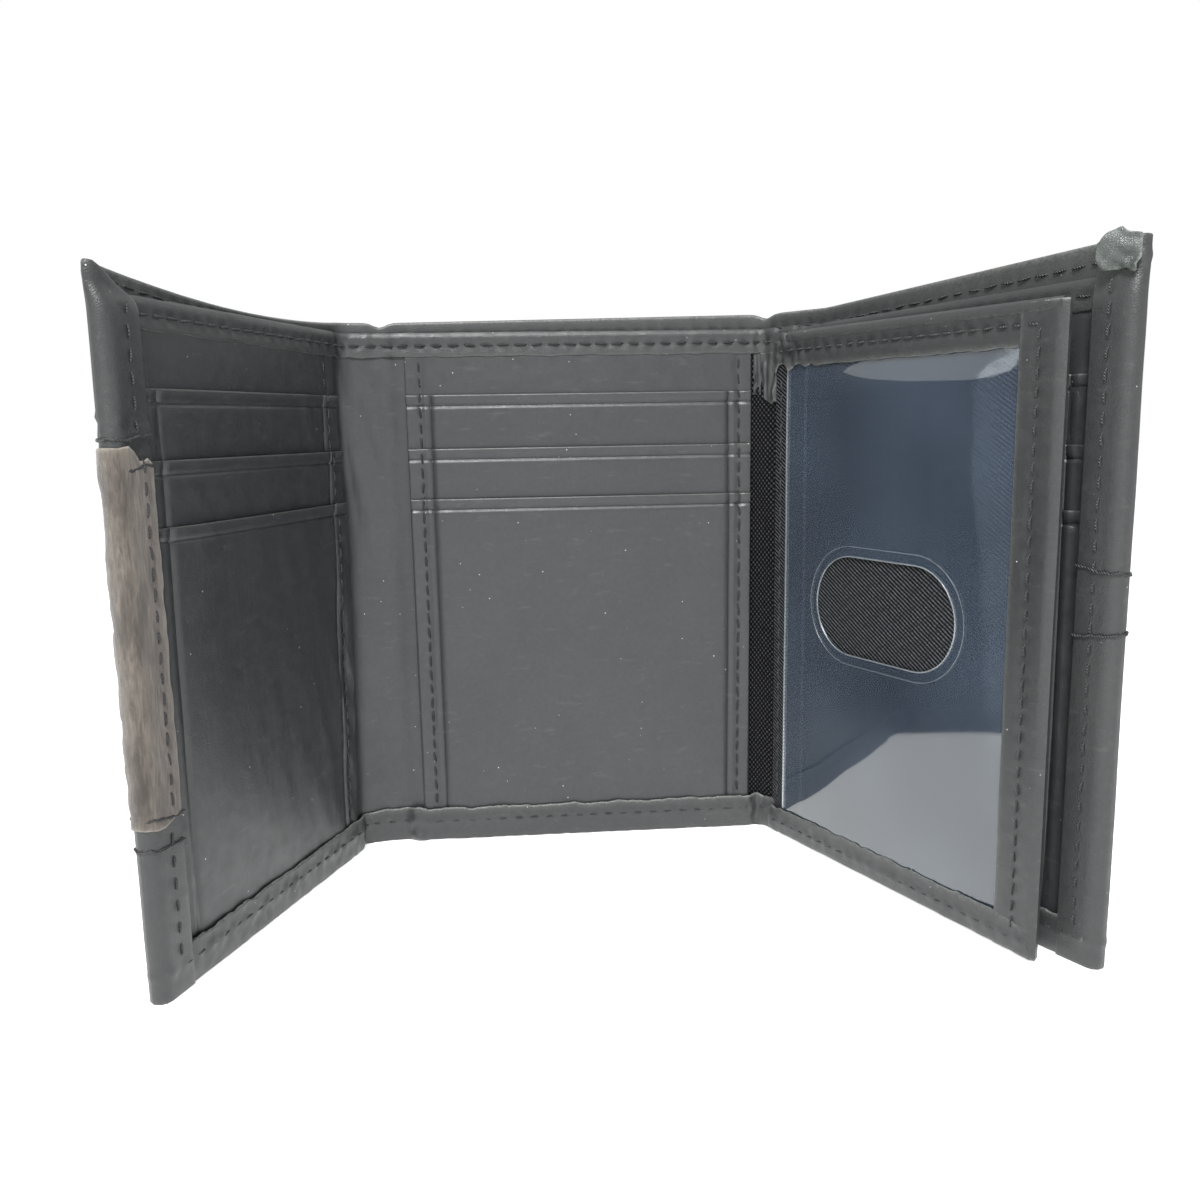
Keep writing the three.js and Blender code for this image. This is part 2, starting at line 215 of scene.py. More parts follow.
def steps(low, high, step, rounded=BOTH, extra=()):
    """Coordinates from low to high, closer together at a rounded edge and at the extra lines."""
    count = max(2, int(round((high - low) / step)))
    values = list(np.linspace(low, high, count + 1)) + [e for e in extra if low < e < high]
    for on, edge, way in zip(rounded, (low, high), (1, -1)):
        values += [edge + way * d for d in (0.06, 0.18, EDGE_ROUND) if on]
    values = np.unique(np.round(values, 4))
    return values[np.concatenate([[True], np.diff(values) > 0.03])]


def to_edge(values, rounded):
    """Distance from each coordinate to the nearest rounded edge."""
    low, high = (0 if on else math.inf for on in rounded)
    return np.minimum(values - values[0] + low, values[-1] - values + high)


def rim(values, rounded):
    """Share of the full thickness at each coordinate, falling off over a rounded edge."""
    share = np.clip(to_edge(values, rounded) / EDGE_ROUND, 0, 1)
    return np.sqrt(np.clip(1 - (1 - share) ** 2, 0.09, 1))


# A pale rim by the rounded edges, fading inward: partly wear, partly painted highlight.
def edge_wear_and_highlight(values, rounded):
    return np.exp(-to_edge(values, rounded) / WEAR_AND_HIGHLIGHT_REACH)


def signed_volume(mesh):
    mesh.calc_loop_triangles()
    points = np.array([v.co for v in mesh.vertices])
    triangles = np.array([t.vertices for t in mesh.loop_triangles])
    a, b, c = (points[triangles[:, k]] for k in range(3))
    return float(np.einsum("ij,ij->i", a, np.cross(b, c)).sum())


def make_piece(name, plan, local, faces, material, wear_and_highlight=None):
    """A piece from (along, depth, height) points, kept as "place". The pale rim along its edges, partly wear
    and partly painted highlight, is kept as a second attribute.
    """
    mesh = bpy.data.meshes.new(name)
    mesh.from_pydata(plan.place(local[:, 0], local[:, 1], local[:, 2]).tolist(), [], faces)
    place = mesh.attributes.new("place", "FLOAT_VECTOR", "POINT")
    place.data.foreach_set("vector", local[:, [0, 2, 1]].astype(np.float32).ravel())
    if wear_and_highlight is not None:
        worn_and_lit = mesh.attributes.new("wear_and_highlight", "FLOAT", "POINT")
        worn_and_lit.data.foreach_set("value", wear_and_highlight.astype(np.float32))
    mesh.update()
    if signed_volume(mesh) < 0:
        mesh.flip_normals()
    mesh.shade_smooth()
    mesh.set_sharp_from_angle(angle=math.radians(50))
    piece = bpy.data.objects.new(name, mesh)
    bpy.context.scene.collection.objects.link(piece)
    mesh.materials.append(material)
    return piece


def closed_grid(name, plan, grid, push, rows, columns, thickness, material, relief):
    """A closed sheet from grids of along, depth and height, thickened both ways along push.

    rows and columns are the coordinates each way over the sheet and which of their ends are rounded.
    """
    half = np.outer(rim(*rows), rim(*columns)) * thickness / 2
    # The pale rim by the rounded edges: partly wear, partly painted highlight.
    wear_and_highlight = np.maximum.outer(edge_wear_and_highlight(*rows), edge_wear_and_highlight(*columns))
    middle, offset = (np.stack(np.broadcast_arrays(*v, half)[:3], -1) for v in (grid, push))
    swell = relief(grid[0], grid[2]) if relief else 0
    middle = middle + offset * np.broadcast_to(swell, half.shape)[..., None]
    local = np.concatenate([(middle + sign * offset * half[..., None]).reshape(-1, 3) for sign in (1, -1)])
    index = np.arange(half.size).reshape(half.shape)
    quads = np.stack([index[:-1, :-1], index[1:, :-1], index[1:, 1:], index[:-1, 1:]], -1).reshape(-1, 4)
    ring = np.concatenate([index[:, 0], index[-1, 1:], index[-2::-1, -1], index[0, -2:0:-1]])
    following = np.roll(ring, -1)
    sides = np.stack([following, ring, ring + half.size, following + half.size], -1)
    faces = np.concatenate([quads, quads[:, ::-1] + half.size, sides])
    return make_piece(name, plan, local, faces.tolist(), material, np.tile(wear_and_highlight.ravel(), 2))


def value_at(depth, a, h):
    return depth(a, h) if callable(depth) else depth


def panel_sheet(name, plan, span, heights, depth, thickness, material, ends=BOTH, step=1.2,
        lines=(), columns=(), relief=None, top=None, bottom=None):
    """A sheet that lies along a panel. depth is its middle's; top and bottom reshape its edges."""
    along = steps(*span, step, ends, columns)
    height = steps(*heights, step, BOTH, lines)
    a, h = np.meshgrid(along, height, indexing="ij")
    share = (h - heights[0]) / (heights[1] - heights[0])
    if top:
        h = h + (top(a) - heights[1]) * ramp(share, 0.6, 1)
    if bottom:
        h = h + (bottom(a) - heights[0]) * (1 - ramp(share, 0, 0.2))
    grid, push = (a, value_at(depth, a, h), h), (0, 1, 0)
    return closed_grid(name, plan, grid, push, (along, ends), (height, BOTH), thickness, material, relief)


def measured(path):
    """A path's points as an array, and the length along it to each of them."""
    path = np.array(path, float)
    return path, np.concatenate([[0], np.cumsum(np.linalg.norm(np.diff(path, axis=0), axis=1))])


def points_at(path, lengths, at):
    return np.stack([np.interp(at, lengths, path[:, k]) for k in range(2)], -1)


def resample(path, step):
    """Evenly spaced lengths along a path, the points there and the directions to their right."""
    path, lengths = measured(path)
    at = steps(0, lengths[-1], step)
    points = points_at(path, lengths, at)
    way = np.gradient(points, at, axis=0)
    way /= np.linalg.norm(way, axis=1)[:, None]
    return at, points, np.stack([way[:, 1], -way[:, 0]], -1)


def arc(centre, radius, start, end, count=9):
    angles = np.radians(np.linspace(start, end, count))
    return [(centre[0] + radius[0] * math.cos(t), centre[1] + radius[1] * math.sin(t)) for t in angles]


def upright_wrap(name, plan, path, heights, thickness, material, relief, rise_step=0.8, ends=BOTH,
        lines=(), top=None, bottom=None, squeeze=None):
    """A sheet that follows a path of (along, depth) points and stands upright."""
    at, points, normal = resample(path, 0.9)
    height = steps(*heights, rise_step, BOTH, lines)
    a, d, h = np.broadcast_arrays(points[:, :1], points[:, 1:], height)
    share = (h - heights[0]) / (heights[1] - heights[0])
    if top:
        h = h + (top(a, d) - heights[1]) * ramp(share, 0.6, 1)
    if bottom:
        h = h + bottom(a) * (1 - ramp(share, 0, 0.05))
    if squeeze:
        d = squeeze(a, d, h)
    push = (normal[:, :1], normal[:, 1:], 0)
    return closed_grid(name, plan, (a, d, h), push, (at, ends), (height, BOTH), thickness, material, relief)


def lying_wrap(name, plan, path, span, thickness, material, relief, ends, squeeze=None, ragged=None,
        rise=None):
    """A sheet that follows a section path of (depth, height) points and runs along the wallet."""
    at, points, normal = resample(path, 0.6)
    along = steps(*span, 0.55, ends)
    a, d, h = np.broadcast_arrays(along[:, None], points[:, 0], points[:, 1])
    if squeeze:
        d = squeeze(a, d)
    if rise:
        h = h + rise(a)
    if ragged:
        h = h + ragged(a) * ramp(at / at[-1], 0.55, 1)
    push = (0, normal[:, 0], normal[:, 1])
    return closed_grid(name, plan, (a, d, h), push, (along, ends), (at, BOTH), thickness, material, relief)


def tube_faces(rings, sides, start=0, looped=False):
    """Faces of a tube whose rings of points follow one another. Its ends are capped unless it is looped."""
    faces = []
    for ring in range(rings if looped else rings - 1):
        near = start + ring * sides
        far = start + (ring + 1) % rings * sides
        for k in range(sides):
            n = (k + 1) % sides
            faces.append((near + k, near + n, far + n, far + k))
    if not looped:
        first = tuple(range(start, start + sides))
        faces += [first[::-1], tuple(k + (rings - 1) * sides for k in first)]
    return faces


# ---- Stitches ----
STITCH_PITCH = 3.1
STITCH_LENGTH = 2.5
THREAD_RADIUS = 0.19
stitch_random = np.random.RandomState(11)


def stitches(name, plan, path, depth, pitch=STITCH_PITCH, sign=1):
    """Separate stitches along a path of (along, height) points. Each one dives in at its ends."""
    path, lengths = measured(path)
    count = max(1, int(lengths[-1] // pitch))
    rings = np.linspace(-1, 1, 7)
    turns = np.linspace(0, 2 * math.pi, 7)[:-1]
    points, faces = [], []
    for centre in (np.arange(count) + 0.5) * lengths[-1] / count:
        length = STITCH_LENGTH * (0.9 + 0.2 * stitch_random.rand()) * pitch / STITCH_PITCH
        lean = math.radians(stitch_random.uniform(-7, 7))
        before, middle, after = points_at(path, lengths, centre + np.array([-0.5, 0, 0.5]))
        angle = math.atan2(*(after - before)[::-1]) + lean
        way = np.array([math.cos(angle), math.sin(angle)])
        across = np.array([-way[1], way[0]])
        faces += tube_faces(len(rings), len(turns), len(points))
        for ring in rings:
            spot = middle + way * ring * length / 2
            girth = THREAD_RADIUS * math.sqrt(max(0.12, 1 - ring ** 4))
            lift = 0.16 - 0.42 * ring ** 4
            for turn in turns:
                side = spot + across * girth * math.cos(turn)
                level = float(value_at(depth, *side)) + sign * (lift + girth * math.sin(turn))
                points.append((side[0], level, side[1]))
    return make_piece(name, plan, np.array(points), faces, THREAD)


def run(low, high, height):
    """A path of (along, height) points from low to high, one a millimetre."""
    return [(a, float(height(a)) if callable(height) else height) for a in np.arange(low, high + 0.5)]


def dent(distance, along, strength=0.17, pitch=STITCH_PITCH):
    """The leather pulled in along a line of stitches, most where the thread goes through."""
    pull = 0.7 + 0.5 * np.cos(2 * np.pi * along / pitch) + 0.25 * noise(along / 2.2, distance, 6)
    return -1.7 * strength * bell(distance, 0, 0.75) * pull


# ---- Materials ----
TWILL_PITCH = 1.0


class Nodes:
    """The nodes of a material or world, with its shader and short calls that add more."""

    def __init__(self, owner, shader, **values):
        owner.use_nodes = True
        self.owner = owner
        self.tree = owner.node_tree
        self.shader = self.tree.nodes[shader]
        self.set(**values)

    def feed(self, socket, value):
        """Gives a socket a number, a colour or another node's output."""
        if isinstance(value, bpy.types.NodeSocket):
            self.tree.links.new(value, socket)
        else:
            socket.default_value = (*value, 1) if socket.type == "RGBA" else value

    def new(self, kind, inputs=None, **settings):
        node = self.tree.nodes.new("ShaderNode" + kind)
        for key, value in settings.items():
            setattr(node, key, value)
        for key, value in (inputs or {}).items():
            self.feed(node.inputs[key], value)
        return node

    def set(self, **values):
        for key, value in values.items():
            self.feed(self.shader.inputs[key.replace("_", " ")], value)
        return self.owner

    def place(self):
        return self.new("Attribute", attribute_name="place").outputs["Vector"]

    # The pale rim by a piece's edges: partly wear, partly painted highlight.
    def wear_and_highlight(self):
        return self.new("Attribute", attribute_name="wear_and_highlight").outputs["Fac"]

    def axes(self):
        split = self.new("SeparateXYZ", {"Vector": self.place()})
        return split.outputs["X"], split.outputs["Y"]

    def noise(self, scale, detail=4.0, roughness=0.55, stretch=(1, 1, 1)):
        stretched = self.new("Mapping", {"Vector": self.place(), "Scale": stretch}).outputs["Vector"]
        inputs = {"Vector": stretched, "Scale": scale, "Detail": detail, "Roughness": roughness}
        return self.new("TexNoise", inputs).outputs["Fac"]

    def cells(self, scale, feature="F1"):
        inputs = {"Vector": self.place(), "Scale": scale}
        return self.new("TexVoronoi", inputs, feature=feature).outputs["Distance"]

    def math(self, operation, a, b=0.0, clamp=False):
        return self.new("Math", {0: a, 1: b}, operation=operation, use_clamp=clamp).outputs["Value"]

    def plus(self, a, b):
        return self.math("ADD", a, b)

    def times(self, a, b, clamp=False):
        return self.math("MULTIPLY", a, b, clamp)

    def remap(self, value, low, high, to_low, to_high):
        inputs = {"Value": value, "From Min": low, "From Max": high, "To Min": to_low, "To Max": to_high}
        return self.new("MapRange", inputs).outputs["Result"]

    def mix(self, share, a, b):
        return self.new("Mix", {"Factor": share, 6: a, 7: b}, data_type="RGBA").outputs[2]

    def bump(self, height, distance, strength=1.0, under=None):
        inputs = {"Height": height, "Distance": distance * MM, "Strength": strength}
        if under:
            inputs["Normal"] = under
        return self.new("Bump", inputs).outputs["Normal"]

    def blend(self, share, first, second):
        """A mixture of two shader nodes."""
        return self.new("MixShader", {0: share, 1: first.outputs[0], 2: second.outputs[0]})


def principled(name, **values):
    return Nodes(bpy.data.materials.new(name), "Principled BSDF", **values)


def leather(name, dark, light, worn_and_lit, gloss, grain, grain_depth):
    """Satin grained leather with blotchy colour, paler edges that are partly wear and partly painted
    highlight, and a few specks of lint.
    """
    m = principled(name, Specular_IOR_Level=0.52)
    blotch = m.plus(m.times(m.noise(0.05, 3), 0.45), m.times(m.noise(1.1, 5), 0.55))
    base = m.mix(m.remap(blotch, 0.3, 0.7, 0, 1), dark, light)
    # Paler edges: partly wear, partly a painted highlight along the rounded edges.
    wear_and_highlight = m.times(m.wear_and_highlight(), m.remap(m.noise(2.4, 3), 0.35, 0.65, 0.25, 1))
    base = m.mix(m.times(wear_and_highlight, 0.75, True), base, worn_and_lit)
    scuffs = m.remap(m.noise(0.7, 5, 0.6, (0.3, 1, 1)), 0.6, 0.78, 0, 0.35)
    base = m.mix(scuffs, base, (0.085, 0.088, 0.086))
    dusty = m.remap(m.noise(0.12, 2), 0.48, 0.6, 0, 1)
    lint = m.times(m.remap(m.cells(0.42), 0.06, 0.03, 0, 0.9), dusty, True)
    base = m.mix(lint, base, (0.6, 0.6, 0.58))
    pebbles = m.remap(m.cells(grain, "DISTANCE_TO_EDGE"), 0, 0.22, 0, 1)
    normal = m.bump(m.noise(0.5, 3, 0.5, (1, 0.5, 1)), 0.16, 0.45)
    normal = m.bump(m.plus(pebbles, m.times(m.noise(5, 4), 0.7)), grain_depth, 0.8, normal)
    rough = m.remap(m.noise(0.35, 5), 0.3, 0.7, gloss - 0.07, gloss + 0.1)
    return m.set(Base_Color=base, Roughness=rough, Normal=normal)


def diagonal_ribs(m, pitch):
    """A twill's slanting ribs, as a wave from -1 to 1."""
    turn = 2 * math.pi / pitch
    x, y = m.axes()
    return m.math("SINE", m.plus(m.times(x, 0.8 * turn), m.times(y, 1.3 * turn)))


def woven(name, dark, light, pitch, depth, contrast=3.0, twill=False):
    """Cloth: crossing yarns, drawn as ridges, with painted shade in the gaps between the yarns and painted
    highlight on their crowns. A twill's ridges run on the diagonal.
    """
    m = principled(name, Roughness=0.75, Specular_IOR_Level=0.07)
    warp, weft = (m.math("SINE", m.times(axis, 2 * math.pi / pitch)) for axis in m.axes())
    ridges = m.times(warp, weft)
    if twill:
        ridges = m.plus(diagonal_ribs(m, pitch), m.times(ridges, 0.35))
    height = m.remap(ridges, -1, 1, 0, 1)
    fuzz = m.remap(m.noise(3, 3), 0.3, 0.7, 0.3, 1.2)
    # The colour follows the yarns' height: painted shade in the gaps, painted highlight on the crowns.
    share = m.times(m.math("POWER", height, contrast), fuzz, True)
    return m.set(Base_Color=m.mix(share, dark, light), Normal=m.bump(height, depth))


def suede():
    """Grey-brown napped suede, rubbed dark in places and frayed pale at its edges."""
    m = principled("suede", Roughness=0.95, Specular_IOR_Level=0.15, Sheen_Weight=0.35)
    nap = m.noise(1.5, 6, 0.7, (1.8, 0.18, 1))
    patch = m.noise(0.2, 5, 0.6, (1.6, 0.4, 1))
    base = m.mix(m.remap(nap, 0.3, 0.7, 0, 1), (0.06, 0.05, 0.043), (0.17, 0.15, 0.128))
    base = m.mix(m.remap(patch, 0.47, 0.68, 0, 0.8), base, (0.045, 0.038, 0.034))
    base = m.mix(m.times(m.wear_and_highlight(), m.noise(1.2, 4), True), base, (0.36, 0.33, 0.28))
    normal = m.bump(m.noise(6, 5, 0.75), 0.12)
    return m.set(Base_Color=base, Normal=m.bump(nap, 0.2, 0.6, normal))


def thread():
    m = principled("thread", Roughness=0.5, Specular_IOR_Level=0.5)
    twist = m.math("SINE", m.times(m.plus(*m.axes()), 14.0))
    # The twist is painted too: painted shade in its grooves, painted highlight on its crowns.
    base = m.mix(m.remap(twist, -1, 1, 0, 1), (0.006, 0.006, 0.007), (0.03, 0.03, 0.032))
    return m.set(Base_Color=base, Normal=m.bump(twist, 0.05))


def film(name, haze_share, gloss, tint):
    """Clear soft vinyl: see-through, mirror-like, with a faint haze that takes the print of the twill."""
    m = principled(name)
    cloud = m.noise(0.035, 1)
    normal = m.bump(cloud, 0.4, 0.25)
    clear = m.new("BsdfTransparent", {"Color": (0.86, 0.89, 0.93)})
    haze = m.new("BsdfDiffuse", {"Color": tint})
    shine = m.new("BsdfGlossy", {"Color": (0.97, 0.98, 0.94), "Roughness": gloss, "Normal": normal})
    fresnel = m.new("Fresnel", {"IOR": 1.52, "Normal": normal}).outputs[0]
    cloudy = m.remap(cloud, 0.3, 0.75, 0.75 * haze_share, 1.25 * haze_share)
    print_through = m.remap(diagonal_ribs(m, TWILL_PITCH), -1, 1, 0.8, 1.2)
    body = m.blend(m.times(cloudy, print_through), clear, haze)
    whole = m.blend(m.times(fresnel, 2.0, True), body, shine)
    m.feed(m.tree.nodes["Material Output"].inputs["Surface"], whole.outputs[0])
    m.tree.nodes.remove(m.shader)
    return m.owner


DARKEST, DARK, PALE = (0.018, 0.020, 0.021), (0.019, 0.021, 0.022), (0.030, 0.032, 0.032)
# The third colour of each leather is its paler edge: partly wear, partly painted highlight.
OUTER = leather("outer_leather", DARK, PALE, (0.10, 0.105, 0.10), 0.40, 2.6, 0.022)
INNER = leather("inner_leather", (0.020, 0.022, 0.023), (0.030, 0.032, 0.033), (0.06, 0.063, 0.06),
                0.38, 3.2, 0.014)
RAW = leather("raw_edged_leather", DARKEST, PALE, (0.22, 0.23, 0.215), 0.42, 2.6, 0.02)
SCRAP = leather("torn_leather", (0.03, 0.035, 0.034), (0.06, 0.068, 0.064), (0.2, 0.22, 0.2), 0.4, 2.6, 0.04)
LINING = woven("lining_cloth", (0.008, 0.009, 0.011), (0.025, 0.027, 0.032), 0.5, 0.03)
NYLON = woven("nylon", (0.001, 0.001, 0.0015), (0.07, 0.072, 0.078), 1.1, 0.35)
TWILL = woven("twill", (0.004, 0.0045, 0.005), (0.098, 0.102, 0.11), TWILL_PITCH, 0.3, 2.0, True)
SUEDE = suede()
THREAD = thread()
FILM = film("clear_film", 0.086, 0.04, (0.34, 0.46, 0.66))
FILM_EDGE = film("cut_film_edge", 0.16, 0.3, (0.75, 0.8, 0.85))

# ---- Sections: the pieces of the long layers, each bending across one fold ----
MID_LEFT = LEFT_CREASE + LEFT_SPINE / 2
MID_RIGHT = CENTRE_HALF + RIGHT_SPINE / 2
SECTIONS = {  # its two ends, the fold it bends over and the bodies on either side of it
    "left_wing": (LEFT_TIP, MID_LEFT, LEFT_CREASE, ("left_wing", "left_spine")),
    "centre_left": (MID_LEFT, 0.0, -CENTRE_HALF, ("left_spine", "centre_panel")),
    "centre_right": (0.0, MID_RIGHT, CENTRE_HALF, ("centre_panel", "right_spine")),
    "right_wing": (MID_RIGHT, RIGHT_TIP, RIGHT_CREASE, ("right_spine", "right_wing")),
}


def open_ends(section):
    """Which ends of a section are real edges, and not where the next section carries on."""
    return (section == "left_wing", section == "right_wing")


def drawn_in(section, amount):
    """A section's span, drawn in at its real edge."""
    low, high = SECTIONS[section][:2]
    ends = open_ends(section)
    return (low + amount * ends[0], high - amount * ends[1])


def stand_for(nodes):
    if nodes:
        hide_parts(*nodes)


def bend(piece, plan, ends, nodes):
    """Bakes the piece's transform and hides the CAD nodes it stands for. The points at the two lengths along
    the plan are worked out but not used.
    """
    start, end = plan.place(ends, np.zeros(2), np.zeros(2))
    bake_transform(piece)
    stand_for(nodes)


def bend_over(piece, section, *parts):
    """The piece lies over its section's fold and stands for the CAD nodes of those parts there."""
    _, _, crease, bodies = SECTIONS[section]
    names = [f"{body.removesuffix('_panel')}_{part}" for body in bodies for part in parts]
    nodes = [name for name in names if name in frame["nodes"]]
    bend(piece, COVER, [crease - SOFTNESS, crease + SOFTNESS], nodes)


def ride_on(piece, body, *nodes):
    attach(piece, body)
    stand_for(nodes)


# ---- Outer shell ----
EDGE_RADIUS = 1.55
SEAM_LINES = (3.6, 4.0, 4.4, 4.8, 5.2, 103, 103.6, 104.2, 104.8)


def shell_path(section):
    """Along the outer face and, at a free edge, round it and back over the inside."""
    low, high = SECTIONS[section][:2]
    middle = (OUTSIDE + LIP_DEPTH) / 2
    radius = (EDGE_RADIUS, (LIP_DEPTH - OUTSIDE) / 2)
    if section == "left_wing":
        turn = arc((low + EDGE_RADIUS + 0.4, middle), radius, 90, 270, 13)
        return [(low + SIDE_HEM, LIP_DEPTH), *turn, (high, OUTSIDE)]
    if section == "right_wing":
        turn = arc((high - EDGE_RADIUS - 0.4, middle), radius, -90, 90, 13)
        return [(low, OUTSIDE), *turn, (high - SIDE_HEM, LIP_DEPTH)]
    return [(low, OUTSIDE), (high, OUTSIDE)]


def torn_by_suede(a, h):
    """Crumpled leather on the left wing's edge, just above the suede band."""
    return 0.5 * bell(h, 86.8, 1.9) * ramp(LEFT_TIP + 9 - a, 0, 1.5) * noise(a / 1.3, h / 1.1, 75)


def shell_relief(a, h):
    """Soft waves in the cover, dents along its seams and a crumpled patch by the suede."""
    wave = 0.16 * noise(a / 19, h / 27, 1) + 0.05 * noise(a / 5, h / 8, 2)
    seam = dent(h - cover_seam(a), a, 0.1) + dent(h - HEM_SEAM, a, 0.1)
    return -wave * 0.6 - seam - torn_by_suede(a, h)


def pressed_above_wall(a, d, h):
    """Above the inner wall the turned edge has nothing inside it, and lies flat."""
    flat = np.where(a < 0, 0.52, 0.25)
    return OUTSIDE + (d - OUTSIDE) * (1 - flat * ramp(h, 103.2, 107.5))


def mitred_top(a, d):
    """The cover's top edge. Where it is turned in at a wing's free edge it is cut down to a soft mitre."""
    inset = np.minimum(a - LEFT_TIP, RIGHT_TIP - a)
    return cover_top(a) - 0.6 * ramp(d, 1.2, 2.4) * np.maximum(inset - 1.4, 0)


def build_cover(section, ends):
    piece = upright_wrap(f"{section}_cover", COVER, shell_path(section), (0.0, 107.0), 0.8, OUTER,
        shell_relief, ends=ends, lines=SEAM_LINES, top=mitred_top, squeeze=pressed_above_wall)
    bend_over(piece, section, "outer_cover", "side_hem")


def build_top_hem(section, ends):
    hem = panel_sheet(f"{section}_top_hem", COVER, drawn_in(section, 1.9), (101.4, 107.0), 0.32, 0.5, RAW,
        ends=ends, step=0.55, top=lambda a: cover_top(a) - 0.15,
        bottom=lambda a: 101.2 + (cover_top(a) - 107) * 0.8 + 0.25 * noise(a / 1.7, 0, 3),
        relief=lambda a, h: dent(h - cover_seam(a), a) + 0.06 * noise(a / 2.2, h / 3, 4))
    bend_over(hem, section, "cover_top_hem")


def build_lining(section, ends):
    span = drawn_in(section, 2.2)
    bottom, top = 0.9, 101.2
    cloth = panel_sheet(f"{section}_lining", COVER, span, (bottom, top), 0.36, 0.2, LINING, ends=ends,
                        step=2.0, relief=lambda a, h: 0.05 * noise(a / 7, h / 9, 5))
    bend_over(cloth, section, "lining")


def build_shell():
    for section in SECTIONS:
        for build in (build_cover, build_top_hem, build_lining):
            build(section, open_ends(section))


# ---- Inner wall, bindings and bottom hems ----
WALL_INSET = 1.9
WALL_BOTTOM, WALL_TOP = 0.9, 104.4
NYLON_SPAN = (CENTRE_HALF - 2.4, RIGHT_CREASE + 2.4)
WALLS = [  # name, span, material, the section it bends over or the body it rides on, and its parts
    ("left_wing_wall", (LEFT_TIP + WALL_INSET, MID_LEFT), INNER, "left_wing", ["divider", "inner_wall"]),
    ("centre_left_wall", (MID_LEFT, 0.0), INNER, "centre_left", ["divider"]),
    ("centre_right_wall", (0.0, NYLON_SPAN[0]), INNER, "centre_panel", ["centre_divider"]),
    ("nylon_wall_left", (NYLON_SPAN[0], MID_RIGHT), NYLON, "centre_right", ["nylon_wall"]),
    ("nylon_wall_right", (MID_RIGHT, NYLON_SPAN[1]), NYLON, "right_wing", ["nylon_wall"]),
    ("right_wing_wall", (NYLON_SPAN[1], RIGHT_TIP - WALL_INSET), INNER, "right_wing", ["right_wing_divider"]),
]


def wall_depth(a, h):
    return 0.78 + 0.47 * fullness(a)


def wall_relief(a, h):
    """On the spines the wall hangs in a few slanting folds towards its top, and is flat elsewhere."""
    high = 0.12 + 0.88 * ramp(h, 45, 88)
    folds = 0.42 * noise((a + 0.16 * h) / 3.1, h / 34, 9) + 0.16 * noise((a + 0.3 * h) / 1.5, h / 17, 10)
    return (1 - fullness(a)) * (0.16 + 1.35 * high * folds) * ramp(h, 2, 12) * ramp(104 - h, 0, 6)


def build_wall():
    for name, span, material, home, parts in WALLS:
        ends = (name == "left_wing_wall", name == "right_wing_wall")
        piece = panel_sheet(name, COVER, span, (WALL_BOTTOM, WALL_TOP), wall_depth, 0.38, material, ends=ends,
            step=1.0, relief=wall_relief, top=lambda a: WALL_TOP + wall_rise(a))
        if name in ("centre_right_wall", "right_wing_wall"):
            ride_on(piece, home, *parts)
        else:
            bend_over(piece, home, *parts)


def binding_squeeze(a, d):
    """The binding lies flatter on the spines."""
    return d - np.where(d > 1.3, 0.55, 0.42) * (1 - fullness(a))


def pucker(a, h, seed, size):
    """Small gathers in the leather, strongest on the right spine."""
    gather = bell(a, MID_RIGHT, 7) + 0.3 * bell(a, MID_LEFT, 6)
    return size * gather * noise(a / 0.9, h / 3.5, seed) + 0.05 * noise(a / 2.4, h / 3, seed + 1)


def build_bindings():
    path = [(0.85, BINDING_BOTTOM + 0.3), (0.85, 104.0), *arc((1.375, 104.1), (0.525, 0.7), 180, 0, 7),
        (1.9, 104.0), (1.9, BINDING_BOTTOM)]
    for section in SECTIONS:
        piece = lying_wrap(f"{section}_binding", COVER, path, drawn_in(section, 7.0), 0.42, OUTER,
            lambda a, h: -dent(h - BINDING_SEAM - wall_rise(a), a, 0.12) - pucker(a, h, 13, 0.4),
            open_ends(section), binding_squeeze, lambda a: 0.2 * noise(a / 2.1, 0, 12), wall_rise)
        bend_over(piece, section, "top_binding")


def lip_squeeze(a, d):
    """The bottom hem's lip lies flatter on the spines."""
    return np.where(d > 0.6, 0.6 + (d - 0.6) * (0.4 + 0.6 * fullness(a)), d)


def spliced(a):
    """Where two lengths of the bottom hem overlap, and where it is bunched by the right spine."""
    return 0.4 * bell(a, -35.5, 1.8) + 0.3 * bell(a, CENTRE_HALF, 1.6)


def hem_relief(a, h):
    crumpled = (0.09 + 1.1 * spliced(a)) * noise(a / 1.1, h / 1.2, 17)
    return -dent(h - HEM_SEAM, a, 0.16) - pucker(a, h, 16, 0.18) - crumpled


def build_bottom_hems():
    path = [(0.1, 0.32), (2.1, 0.32), *arc((2.1, 0.82), (0.5, 0.5), -90, 0, 5), (2.6, 1.4), (2.6, HEM_TOP)]
    for section in SECTIONS:
        piece = lying_wrap(
            f"{section}_bottom_hem", COVER, path, drawn_in(section, 2.4), 0.6, RAW, hem_relief,
            open_ends(section), lip_squeeze,
            lambda a: 0.25 * noise(a / 3.1, 0, 14) + 0.2 * noise(a / 0.8, 0, 15) + spliced(a))
        bend_over(piece, section, "bottom_hem")


# ---- Card slots ----
HEAT_CREASE = 2.2  # a pressed line runs this far below each slot's top edge
BANK_SEAM = 2.9  # how far a bank's seams, and the creases beside them, are from its ends
BANK_CREASE = 4.9
BANK_PITCH = 2.9
BACKING = 1.5  # depth that the card slots are sewn down to
LEFT_BANK = (LEFT_TIP + SIDE_HEM - 1.6, LEFT_CREASE - 4.4)
CENTRE_BANK = (-34.3, 35.5)
RIGHT_BANK = (RIGHT_CREASE + 2.2, RIGHT_TIP - SIDE_HEM + 1.6)


